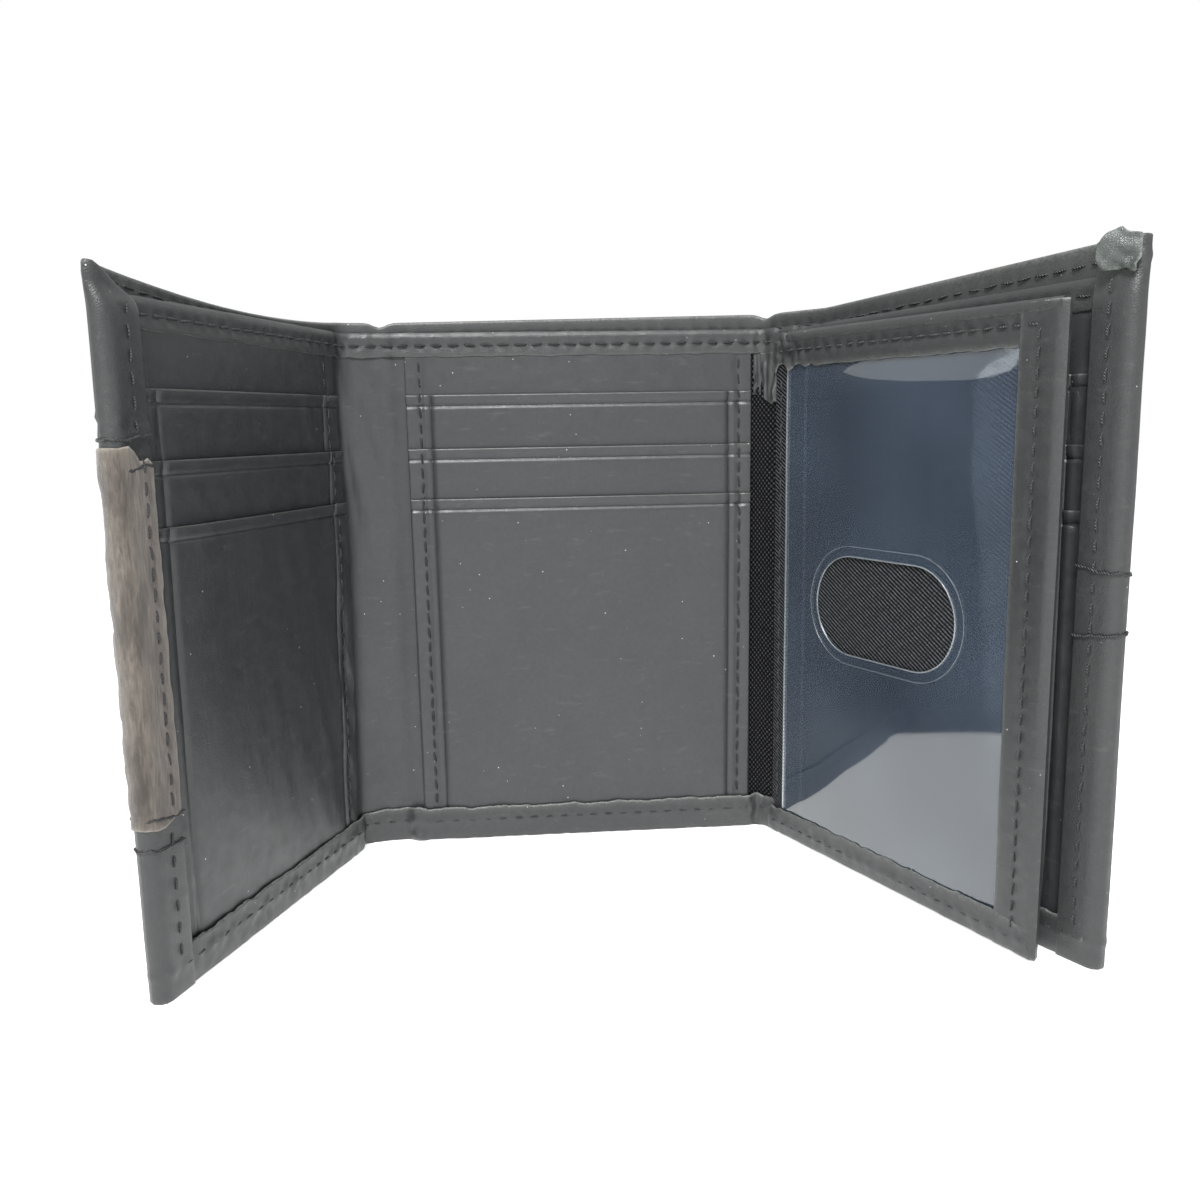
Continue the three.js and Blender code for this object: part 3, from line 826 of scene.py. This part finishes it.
def tucked(a):
    """1 in the open, falling to 0.2 where the card slots' ends lie pressed under a wing's side hem."""
    inside = np.minimum(a - (LEFT_TIP + SIDE_HEM), RIGHT_TIP - SIDE_HEM - a)
    return 0.2 + 0.8 * ramp(inside, -1.6, 12)


def seam_columns(span):
    """Lengths along a bank where its seams and creases need finer steps."""
    near = (2.1, 2.5, 2.9, 3.3, 3.7, 4.65, 4.8, 4.9, 5.0, 5.15)
    return [end + way * d for end, way in ((span[0], 1), (span[1], -1)) for d in near]


def seam_dents(a, h, span, strength, pitch=STITCH_PITCH):
    return (dent(a - span[0] - BANK_SEAM, h, strength, pitch)
        + dent(a - span[1] + BANK_SEAM, h, strength, pitch))


def strip_depth(top, bottom, top_depth, bottom_depth):
    def depth(a, h):
        free = bottom_depth + LEATHER / 2 + (top_depth - bottom_depth) * (h - bottom) / (top - bottom)
        return BACKING + (free - BACKING) * tucked(a)
    return depth


def strip_relief(top, span, seed, crumple):
    """A pressed line under the top edge, a rolled lip, slack in the middle and wrinkles by the seam."""
    def relief(a, h):
        shape = 0.22 * ramp(h, top - HEAT_CREASE, top - 0.4) - 0.32 * bell(h, top - HEAT_CREASE, 0.28)
        across = np.clip((a - span[0]) / (span[1] - span[0]), 0, 1)
        shape = shape + 0.22 * np.sin(np.pi * across) * ramp(h, top - 15, top)
        by_seam = np.exp(-np.abs(a - span[1]) / 16)
        shape = shape + crumple * by_seam * noise((a + 0.28 * h) / 1.9, h / 12, seed)
        shape = shape + 0.06 * noise(a / 9, h / 11, seed + 1)
        creases = bell(a, span[0] + BANK_CREASE, 0.22) + bell(a, span[1] - BANK_CREASE, 0.22)
        return shape + seam_dents(a, h, span, 0.16, BANK_PITCH) - 0.3 * creases
    return relief


def card_bank(prefix, body, span, crumple, seed):
    """A backing, two card strips and a front pocket, sewn down together at both ends."""
    columns = seam_columns(span)
    backing = panel_sheet(f"{prefix}_bank_backing", COVER, span, (5.5, 101.0),
        lambda a, h: 1.56 + 0.1 * tucked(a), 0.42, INNER, columns=columns,
        relief=lambda a, h: seam_dents(a, h, span, 0.12), top=lambda a: 101 + wall_rise(a))
    ride_on(backing, body)
    upper, lower = SLOT_TOPS
    layers = [
        ("card_strip_upper", upper, upper - STRIP, 1.9, 1.65),
        ("card_strip_lower", lower, lower - STRIP, 2.45, 2.2),
        ("front_pocket", POCKET_TOP, 0.9, 2.95, 1.65),
    ]
    for k, (part, top, bottom, top_depth, bottom_depth) in enumerate(layers):
        piece = panel_sheet(
            f"{prefix}_{part}", COVER, (span[0] + 0.12 * k, span[1] - 0.12 * k), (bottom, top),
            strip_depth(top, bottom, top_depth, bottom_depth), LEATHER, INNER, columns=columns,
            lines=[top - HEAT_CREASE + d for d in (-0.7, -0.35, 0, 0.35, 0.7)],
            relief=strip_relief(top, span, seed + 3 * k, crumple))
        ride_on(piece, body, f"{prefix}_{part}")


def bank_thread(name, along, body, node):
    piece = stitches(name, COVER, [(along, HEM_TOP + 0.8), (along, BINDING_BOTTOM - 0.6)],
        lambda a, h: bank_front(a, h) + 0.02, BANK_PITCH)
    ride_on(piece, body, node)


def build_banks():
    card_bank("left_wing", "left_wing", LEFT_BANK, 0.42, 20)
    card_bank("centre", "centre_panel", CENTRE_BANK, 0.0, 40)
    card_bank("right_wing", "right_wing", RIGHT_BANK, 0.0, 60)
    bank_thread("left_wing_bank_stitches", LEFT_CREASE - 8.0, "left_wing", "left_wing_bank_thread")
    bank_thread("centre_left_stitches", -31.5, "centre_panel", "centre_left_thread")
    bank_thread("centre_right_stitches", 32.7, "centre_panel", "centre_right_thread")


# ---- Seams ----
COVER_BACK = OUTSIDE - 0.42  # depths at which stitches lie on the cover's outer face and on its lip
LIP_FRONT = LIP_DEPTH + 0.42
LEFT_EDGE_SEAM = LEFT_TIP + 4.6
RIGHT_EDGE_SEAM = RIGHT_TIP - 4.4


def section_seams(section):
    """The seams along a section: its binding, its bottom hem, its cover's hem, and both on the outside."""
    inner, outer = drawn_in(section, 4.5), drawn_in(section, 3.6)
    seams = [
        ("binding", inner, lambda a: BINDING_SEAM + wall_rise(a),
         lambda a, h: 2.12 if fullness(a) > 0.5 else 1.57, 1, ["top_thread"]),
        ("hem", inner, HEM_SEAM, lambda a, h: lip_squeeze(a, LIP_DEPTH) + 0.28, 1, ["hem_thread"]),
        ("cover", outer, cover_seam, 0.58, 1, []),
        ("outside_top", outer, cover_seam, COVER_BACK, -1, []),
        ("outside_bottom", outer, HEM_SEAM, COVER_BACK, -1, []),
    ]
    for label, span, height, depth, sign, parts in seams:
        seam = stitches(f"{section}_{label}_stitches", COVER, run(*span, height), depth, sign=sign)
        bend_over(seam, section, *parts)


def build_seams():
    for section in SECTIONS:
        section_seams(section)
    edges = [
        ("left_wing_side_stitches_upper", (85.5, 105.5), "left_wing_side_thread_upper"),
        ("left_wing_side_stitches_lower", (5.5, 27.0), "left_wing_side_thread_lower"),
        ("right_wing_side_stitches", (5.5, 106.5), "right_wing_side_thread"),
        ("right_wing_outside_side_stitches", (7.5, 105), None),
        ("left_wing_outside_side_stitches_upper", (86, 104), None),
        ("left_wing_outside_side_stitches_lower", (7.5, 27), None),
    ]
    for name, (low, high), node in edges:
        body = "left_wing" if name.startswith("left") else "right_wing"
        along = LEFT_EDGE_SEAM if body == "left_wing" else RIGHT_EDGE_SEAM
        depth, sign = (LIP_FRONT, 1) if node else (COVER_BACK, -1)
        piece = stitches(name, COVER, [(along, low), (along, high)], depth, sign=sign)
        ride_on(piece, body, *([node] if node else []))


# ---- Suede band and the threads that tie it ----
SUEDE_BOTTOM, SUEDE_TOP = 28.0, 84.5


def edge_wrap_path(tip, side, out, inside, reach_out, reach_in, radius):
    """A path that hugs a wing's free edge at a little distance, from the outside round to the inside."""
    centre = (tip - side * radius, (out + inside) / 2)
    turn = arc(centre, (radius, (inside - out) / 2), 270 if side < 0 else -90, 90, 13)
    return [(tip - side * reach_out, out), *turn, (tip - side * reach_in, inside)]


def suede_top(a, d):
    torn = 2.6 * ramp(d, 1.5, 3.2) * ramp(a, LEFT_TIP + 2, LEFT_TIP + 6)
    return SUEDE_TOP - torn + 0.8 * noise(a / 1.3, 0, 72) + 0.3 * noise(a / 0.5, 0, 73)


def build_suede():
    path = edge_wrap_path(LEFT_TIP - 0.15, -1, -1.1, LIP_DEPTH + 0.68, 61.5, 7.1, 2.1)
    band = upright_wrap("suede_band", COVER, path[::-1], (SUEDE_BOTTOM, SUEDE_TOP), 0.5, SUEDE,
        lambda a, h: 0.14 * noise(a / 2.3, h / 3.1, 70) + 0.12 * noise(a / 0.9, h / 1.4, 71),
        lines=[SUEDE_BOTTOM + 1, SUEDE_TOP - 1], top=suede_top, bottom=lambda a: 0.6 * noise(a / 1.5, 0, 74))
    ride_on(band, "left_wing", "left_wing_suede_band")
    seam = stitches("suede_stitches", COVER, [(LEFT_TIP + 4.8, 30), (LEFT_TIP + 4.8, 83)], LIP_DEPTH + 0.92)
    ride_on(seam, "left_wing")


def wrapped_thread(name, tip, side, height, body, seed, lift):
    """A loose turn of thread over a wing's free edge."""
    path, lengths = measured(edge_wrap_path(tip, side, -0.95 - lift, LIP_DEPTH + 0.5 + lift, 7.6, 7.4, 2.0))
    at = np.linspace(0, lengths[-1], 34)
    wobble = np.cumsum(np.random.RandomState(seed).uniform(-0.22, 0.22, len(at)))
    rise = height + wobble - wobble.mean()
    centres = np.column_stack([points_at(path, lengths, at), rise])
    way = np.gradient(centres, axis=0)
    way /= np.linalg.norm(way, axis=1)[:, None]
    across = np.cross(way, [0, 0, 1])
    across /= np.linalg.norm(across, axis=1)[:, None]
    over = np.cross(across, way)
    turns = np.linspace(0, 2 * np.pi, 9)[:-1, None]
    radius = 0.26 * (1 + 0.25 * np.sin(at * 3.1))
    ring = np.cos(turns) * across[:, None] + np.sin(turns) * over[:, None]
    local = (centres[:, None] + radius[:, None, None] * ring).reshape(-1, 3)
    ride_on(make_piece(name, COVER, local, tube_faces(len(at), len(turns)), THREAD), body)


def build_wrapped_threads():
    for k, height in enumerate((85.6, 81.0, 29.2, 24.6)):
        lift = 0.35 if SUEDE_BOTTOM < height < SUEDE_TOP else 0.05
        wrapped_thread(f"left_wing_tie_{k + 1}", LEFT_TIP, -1, height, "left_wing", 80 + k, lift)
    for k, height in enumerate((63.3, 53.8)):
        wrapped_thread(f"right_wing_tie_{k + 1}", RIGHT_TIP, 1, height, "right_wing", 90 + k, 0.05)


# ---- Right spine's gathered facing ----
def gathers(a, h):
    pull = ramp(h, 89, 93) * (0.5 + 0.5 * ramp(101 - h, 0, 5))
    folds = np.sin((a + 0.5 * noise(h / 4, a / 3, 30)) * 2 * np.pi / 1.35)
    return pull * (0.1 * folds + 0.4 * noise(a / 0.8, h / 2.6, 32))


def build_facing():
    """Leather gathered into small upright folds above the nylon, torn along its lower edge."""
    piece = panel_sheet("gathered_facing", COVER, (CENTRE_HALF - 1.5, CENTRE_HALF + 4.9), (90.0, 100.4),
        lambda a, h: 1.25 + 0.1 * fullness(a), 0.4, OUTER, step=0.3, relief=gathers,
        bottom=lambda a: 91.5 - 0.5 * (a - CENTRE_HALF - 2) + 0.9 * noise(a, 0, 31))
    bend_over(piece, "centre_right", "leather_facing")


# ---- ID flap ----
FLAP_BOTTOM, FLAP_TOP = 0.4, 103.5
TWILL_BOTTOM, TWILL_TOP = 1.2, 102.6
WINDOW_BOTTOM, WINDOW_TOP = 6.0, 97.0
WINDOW_LAP = 1.5  # how far the film reaches under the borders
WINDOW_EDGE = FLAP_END - 7.2
FLAP_SPLIT = FLAP_ROOT - 3
FLAP_SEAMS = {"top": 100.2, "bottom": 2.9}
SIDE_SEAM = FLAP_END - 4.3
FLAP_PITCH = 2.8
THUMB = np.array([FLAP_ROOT + 19.1, 51.9])  # the thumb slot's middle, as length along and height
THUMB_LENGTH, THUMB_WIDTH = 34.7, 18.6


def flap_home(piece, part, *nodes):
    """Bakes the transform of a piece of the flap's root or of the rest of the flap, and hides the CAD nodes
    it stands for.
    """
    if part == "flap_root":
        bend(piece, FLAP, [0.5, FLAP_SPLIT - 0.5], nodes)
    else:
        bend(piece, FLAP, [FLAP_SPLIT + 0.2, FLAP_ROOT + 2.8], nodes)


def flap_span(part, start, end):
    """The span of one of the flap's two lengths, drawn in at the sewn edge or at the free edge."""
    return (0.3 + start, FLAP_SPLIT) if part == "flap_root" else (FLAP_SPLIT, FLAP_END - end)


def flap_backs(part, ends):
    back = panel_sheet(f"{part}_back", FLAP, flap_span(part, 0, 1.6), (FLAP_BOTTOM, FLAP_TOP), -0.48, 0.35,
        INNER, ends=ends, relief=lambda a, h: 0.08 * noise(a / 12, h / 15, 47))
    flap_home(back, part, "flap_root_strip" if part == "flap_root" else "flap_back_panel")
    span = flap_span(part, 0.2, 1.6)
    cloth = panel_sheet(f"{part}_twill", FLAP, span, (TWILL_BOTTOM, TWILL_TOP), 0, 0.2, TWILL,
        ends=ends, step=1.6, relief=lambda a, h: 0.06 * noise(a / 9, h / 8, 48))
    flap_home(cloth, part, *([] if part == "flap_root" else ["flap_twill_lining"]))


def gathered_border(a, h):
    """The top border, gathered towards the root and pulled in along its seam."""
    return (0.75 * bell(a, 0, 8) + 0.05) * noise(a, h / 1.8, 50) - dent(h - FLAP_SEAMS["top"], a, -0.14)


def flap_top(part, ends):
    border = panel_sheet(
        f"{part}_top_border", FLAP, flap_span(part, 0, 1), (WINDOW_TOP, FLAP_TOP), 0.7, 0.5, RAW,
        ends=ends, step=0.5, relief=gathered_border,
        bottom=lambda a: WINDOW_TOP + (0.16 + 1.4 * bell(a, 0, 9)) * noise(a / 1.6, 0, 51))
    flap_home(border, part, "flap_top_border")
    path = [(-0.62, 101.5), (-0.62, 102.9), *arc((0.15, 103.0), (0.77, 0.75), 180, 0), (0.92, 102.9),
        (0.92, 101.9)]
    fold = lying_wrap(f"{part}_top_fold", FLAP, path, flap_span(part, 0, 0.6), 0.4, OUTER,
        lambda a, h: 0.55 * bell(a, 0, 8) * noise(a / 0.9, h / 2, 52), ends)
    flap_home(fold, part)


def flap_bottom(part, ends):
    def ragged(a):
        torn = (0.2 + 1.2 * bell(a, 0, 6)) * noise(a / 1.5, 0, 53) + 0.16 * noise(a / 0.6, 0, 54)
        return torn - 0.8 * ramp(a, FLAP_END - 7, FLAP_END)

    def relief(a, h):
        crumpled = 0.06 * noise(a / 2, h / 2, 55) + 0.3 * np.exp(-a / 3) * noise(a / 0.9, h / 1.2, 56)
        return -dent(h - FLAP_SEAMS["bottom"], a, 0.12) - crumpled

    path = [(-0.62, 4.5), (-0.62, 1.2), *arc((0.1, 1.1), (0.72, 0.7), 180, 360), (0.82, 1.3),
        (0.82, WINDOW_BOTTOM)]
    hem = lying_wrap(f"{part}_bottom_hem", FLAP, path, flap_span(part, 0, 1), 0.5, RAW, relief, ends,
        ragged=ragged)
    flap_home(hem, part, "flap_bottom_hem")


def flap_seams(part):
    for label, height in FLAP_SEAMS.items():
        path = run(*flap_span(part, 0.8, 4.5), height)
        line = stitches(f"{part}_{label}_stitches", FLAP, path, 0.98, FLAP_PITCH)
        flap_home(line, part, *(["flap_top_thread"] if label == "top" else []))


def flap_side():
    """The flap's outer edge: a fat turned fold with a lip on each side."""
    turn = arc((FLAP_END - 1.0, 0.1), (1.0, 0.75), -90, 90, 13)
    path = [(FLAP_END - 7.6, -0.5), *turn, (FLAP_END - 8.0, 0.72)]
    edge = upright_wrap("flap_side_border", FLAP, path, (FLAP_BOTTOM, FLAP_TOP), 0.55, RAW,
        lambda a, h: 0.05 * noise(a / 3, h / 9, 57) - dent(a - SIDE_SEAM, h, -0.12), 0.6)
    flap_home(edge, "flap", "flap_side_border")
    seam = stitches("flap_side_stitches", FLAP, [(SIDE_SEAM, 4), (SIDE_SEAM, 100)], 1.02, FLAP_PITCH)
    flap_home(seam, "flap", "flap_side_thread")


def film_depth(a, h):
    """The film bellies out below the top border and tucks back in under it."""
    across = ramp(a, FLAP_SPLIT - 5, FLAP_SPLIT + 12) * ramp(WINDOW_EDGE + 1 - a, 0, 11)
    belly = 0.6 * across * ramp(97.5 - h, 0, 5)
    return 0.32 + belly * (0.35 + 0.65 * ramp(h, 60, 93)) + 0.12 * noise(a / 24, h / 30, 44)


def thumb_outline(grow, count=120):
    """Evenly spaced points round the thumb slot, grown outward."""
    radius = THUMB_WIDTH / 2 + grow
    reach = (THUMB_LENGTH - THUMB_WIDTH) / 2
    right = arc((reach, 0), (radius, radius), -90, 90, 90)
    left = arc((-reach, 0), (radius, radius), 90, 270, 90)
    loop, lengths = measured([*right, *left, right[0]])
    return points_at(loop, lengths, np.arange(count) * lengths[-1] / count) + THUMB


def film_border(rays):
    """Where rays from the thumb slot's middle meet the film's edge, with one moved to each corner."""
    low = np.array([FLAP_SPLIT, WINDOW_BOTTOM - WINDOW_LAP])
    high = np.array([WINDOW_EDGE, WINDOW_TOP + WINDOW_LAP])
    with np.errstate(divide="ignore", invalid="ignore"):
        reach = np.where(rays > 0, (high - THUMB) / rays, (low - THUMB) / rays).min(axis=1)
    border = THUMB + rays * reach[:, None]
    angles = np.arctan2(rays[:, 1], rays[:, 0])
    for corner in ((x, y) for x in (low[0], high[0]) for y in (low[1], high[1])):
        aim = math.atan2(*(corner - THUMB)[::-1])
        border[np.argmin(np.abs(np.angle(np.exp(1j * (angles - aim)))))] = corner
    return border


def film_mesh():
    """The window film: rings of faces that run from the thumb slot out to the film's edge."""
    outline = thumb_outline(0)
    border = film_border(outline - THUMB)
    rings = np.concatenate([[0, 0.01, 0.025, 0.05], np.linspace(0.09, 1, 22)])
    flat = np.array([outline + (border - outline) * r for r in rings])
    a, h = flat[..., 0], flat[..., 1]
    half_thick = 0.075
    local = np.concatenate([
        np.stack([a, film_depth(a, h) + sign * half_thick, h], -1).reshape(-1, 3) for sign in (1, -1)
    ])
    index = np.arange(a.size).reshape(a.shape)
    after = np.roll(index, -1, 1)
    quads = np.stack([index[:-1], index[1:], after[1:], after[:-1]], -1).reshape(-1, 4)
    slot_side = np.stack([index[0], after[0], a.size + after[0], a.size + index[0]], -1)
    edge_side = np.stack([after[-1], index[-1], a.size + index[-1], a.size + after[-1]], -1)
    faces = np.concatenate([quads, a.size + quads[:, ::-1], slot_side, edge_side])
    return make_piece("window_film", FLAP, local, faces.tolist(), FILM)


def film_ring(name, grow, radius):
    """A raised line that follows the thumb slot's outline."""
    outline = thumb_outline(grow, 96)
    turns = np.linspace(0, 2 * np.pi, 7)[:-1]
    following = np.roll(outline, -1, 0) - np.roll(outline, 1, 0)
    normal = np.stack([following[:, 1], -following[:, 0]], -1)
    normal /= np.linalg.norm(normal, axis=1)[:, None]
    flat = outline[:, None] + normal[:, None] * radius * np.cos(turns)[:, None]
    a, h = flat[..., 0], flat[..., 1]
    local = np.stack([a, film_depth(a, h) + 0.09 + radius * np.sin(turns), h], -1).reshape(-1, 3)
    faces = tube_faces(len(outline), len(turns), looped=True)
    flap_home(make_piece(name, FLAP, local, faces, FILM_EDGE), "flap")


def film_line(name, span, lift, thickness, part):
    """The film's cut edge, which catches the light."""
    line = panel_sheet(name, FLAP, span, (WINDOW_BOTTOM, WINDOW_TOP), lambda a, h: film_depth(a, h) + lift,
        thickness, FILM_EDGE)
    flap_home(line, part)


def build_window():
    flap_home(film_mesh(), "flap", "flap_window_film")
    film_ring("thumb_slot_rim", 0.1, 0.12)
    film_ring("thumb_slot_weld", 2.0, 0.035)
    heights = (WINDOW_BOTTOM - WINDOW_LAP, WINDOW_TOP + WINDOW_LAP)
    root_film = panel_sheet("window_film_root", FLAP, (4.4, FLAP_SPLIT), heights, film_depth, 0.15, FILM,
        ends=(True, False))
    flap_home(root_film, "flap_root")
    film_line("window_film_edge", (4.2, 4.6), 0.08, 0.2, "flap_root")
    film_line("window_film_far_edge", (WINDOW_EDGE - 0.3, WINDOW_EDGE + 0.1), 0.1, 0.3, "flap")


def build_flap():
    """The flap in two lengths: its root, over the spine's fold, and the rest, over its own hinge."""
    seam = stitches("flap_root_stitches", FLAP, [(2.4, 8), (2.4, 95)], 0.2, FLAP_PITCH)
    flap_home(seam, "flap_root")
    for part in ("flap_root", "flap"):
        ends = (part == "flap_root", False)
        flap_backs(part, ends)
        flap_top(part, ends)
        flap_bottom(part, ends)
        flap_seams(part)
    flap_side()
    build_window()


# ---- Corner tab ----
def build_corner_tab():
    """A torn scrap of leather that has lifted at the right wing's top corner."""
    def lifted(a, h):
        return LIP_DEPTH + 0.2 + 1.9 * ramp(RIGHT_TIP - 1 - a, 0, 4.5) * ramp(h, 105, 109)
    piece = panel_sheet("lifted_corner", COVER, (RIGHT_TIP - 5.8, RIGHT_TIP - 0.4), (107.0, 111.8), lifted,
        0.5, SCRAP, step=0.35, relief=lambda a, h: 0.8 * noise(a / 1.5, h / 1.3, 61),
        top=lambda a: 112.4 - 0.3 * np.abs(a - RIGHT_TIP + 3) + 0.7 * noise(a / 1.2, 0, 62),
        bottom=lambda a: 107.4 + 1.2 * noise(a / 1.3, 0, 63))
    ride_on(piece, "right_wing")


# ---- Camera, light and floor ----
FILL_LIGHT = 0.38  # the world's strength for diffuse light, where mirrored and seen it is 1
KEY_POWER = 12.0
FLOOR_REACH = 3.0  # metres


def link_new(name, data):
    thing = bpy.data.objects.new(name, data)
    bpy.context.scene.collection.objects.link(thing)
    return thing


def build_camera():
    """Just above the wallet's middle and turned a little to the right, as a phone would be held."""
    yaw, pitch, roll = (math.radians(d) for d in (4.45, 9.35, -0.96))
    middle = (FOLD["left_spine_fold"] + FOLD["right_spine_fold"]) / 2
    camera = link_new("camera", bpy.data.cameras.new("camera"))
    camera.data.sensor_width = 36
    camera.data.lens = 31.8
    camera.data.clip_start = 0.005
    turns = ((-yaw, "Z"), (math.pi / 2 - pitch, "X"), (roll, "Z"))
    first, second, third = (Matrix.Rotation(angle, 4, axis) for angle, axis in turns)
    spot = Matrix.Translation(((middle[0] - 13.1) * MM, (middle[1] - 218.5) * MM, 86.3 * MM))
    camera.matrix_world = spot @ first @ second @ third
    bpy.context.scene.camera = camera


def build_world():
    """A white surround that is seen and mirrored at full strength, and lights less brightly."""
    world = bpy.data.worlds.new("studio")
    m = Nodes(world, "Background", Color=(1, 1, 1))
    diffuse = m.new("LightPath").outputs["Is Diffuse Ray"]
    m.set(Strength=m.remap(diffuse, 0, 1, 1, FILL_LIGHT))
    bpy.context.scene.world = world


def build_key_light():
    light = link_new("key", bpy.data.lights.new("key", "AREA"))
    light.data.shape = "DISK"
    light.data.size = 0.3
    light.data.energy = KEY_POWER
    light.location = (-0.16, -0.52, 0.72)
    aim = Vector((0, 0, 0.05)) - Vector(light.location)
    light.rotation_euler = aim.to_track_quat("-Z", "Y").to_euler()


def build_floor():
    mesh = bpy.data.meshes.new("floor")
    corners = [(x * FLOOR_REACH, y * FLOOR_REACH, 0) for x, y in ((-1, -1), (1, -1), (1, 1), (-1, 1))]
    mesh.from_pydata(corners, [], [(0, 1, 2, 3)])
    paper = principled("paper", Base_Color=(0.95, 0.95, 0.95), Roughness=0.9, Emission_Color=(1, 1, 1),
        Emission_Strength=0.75)
    mesh.materials.append(paper.owner)
    link_new("floor", mesh)


bpy.context.scene.view_settings.view_transform = "Standard"
build_shell()
build_wall()
build_bindings()
build_bottom_hems()
build_banks()
build_seams()
build_suede()
build_wrapped_threads()
build_facing()
build_flap()
build_corner_tab()
build_camera()
build_world()
build_key_light()
build_floor()
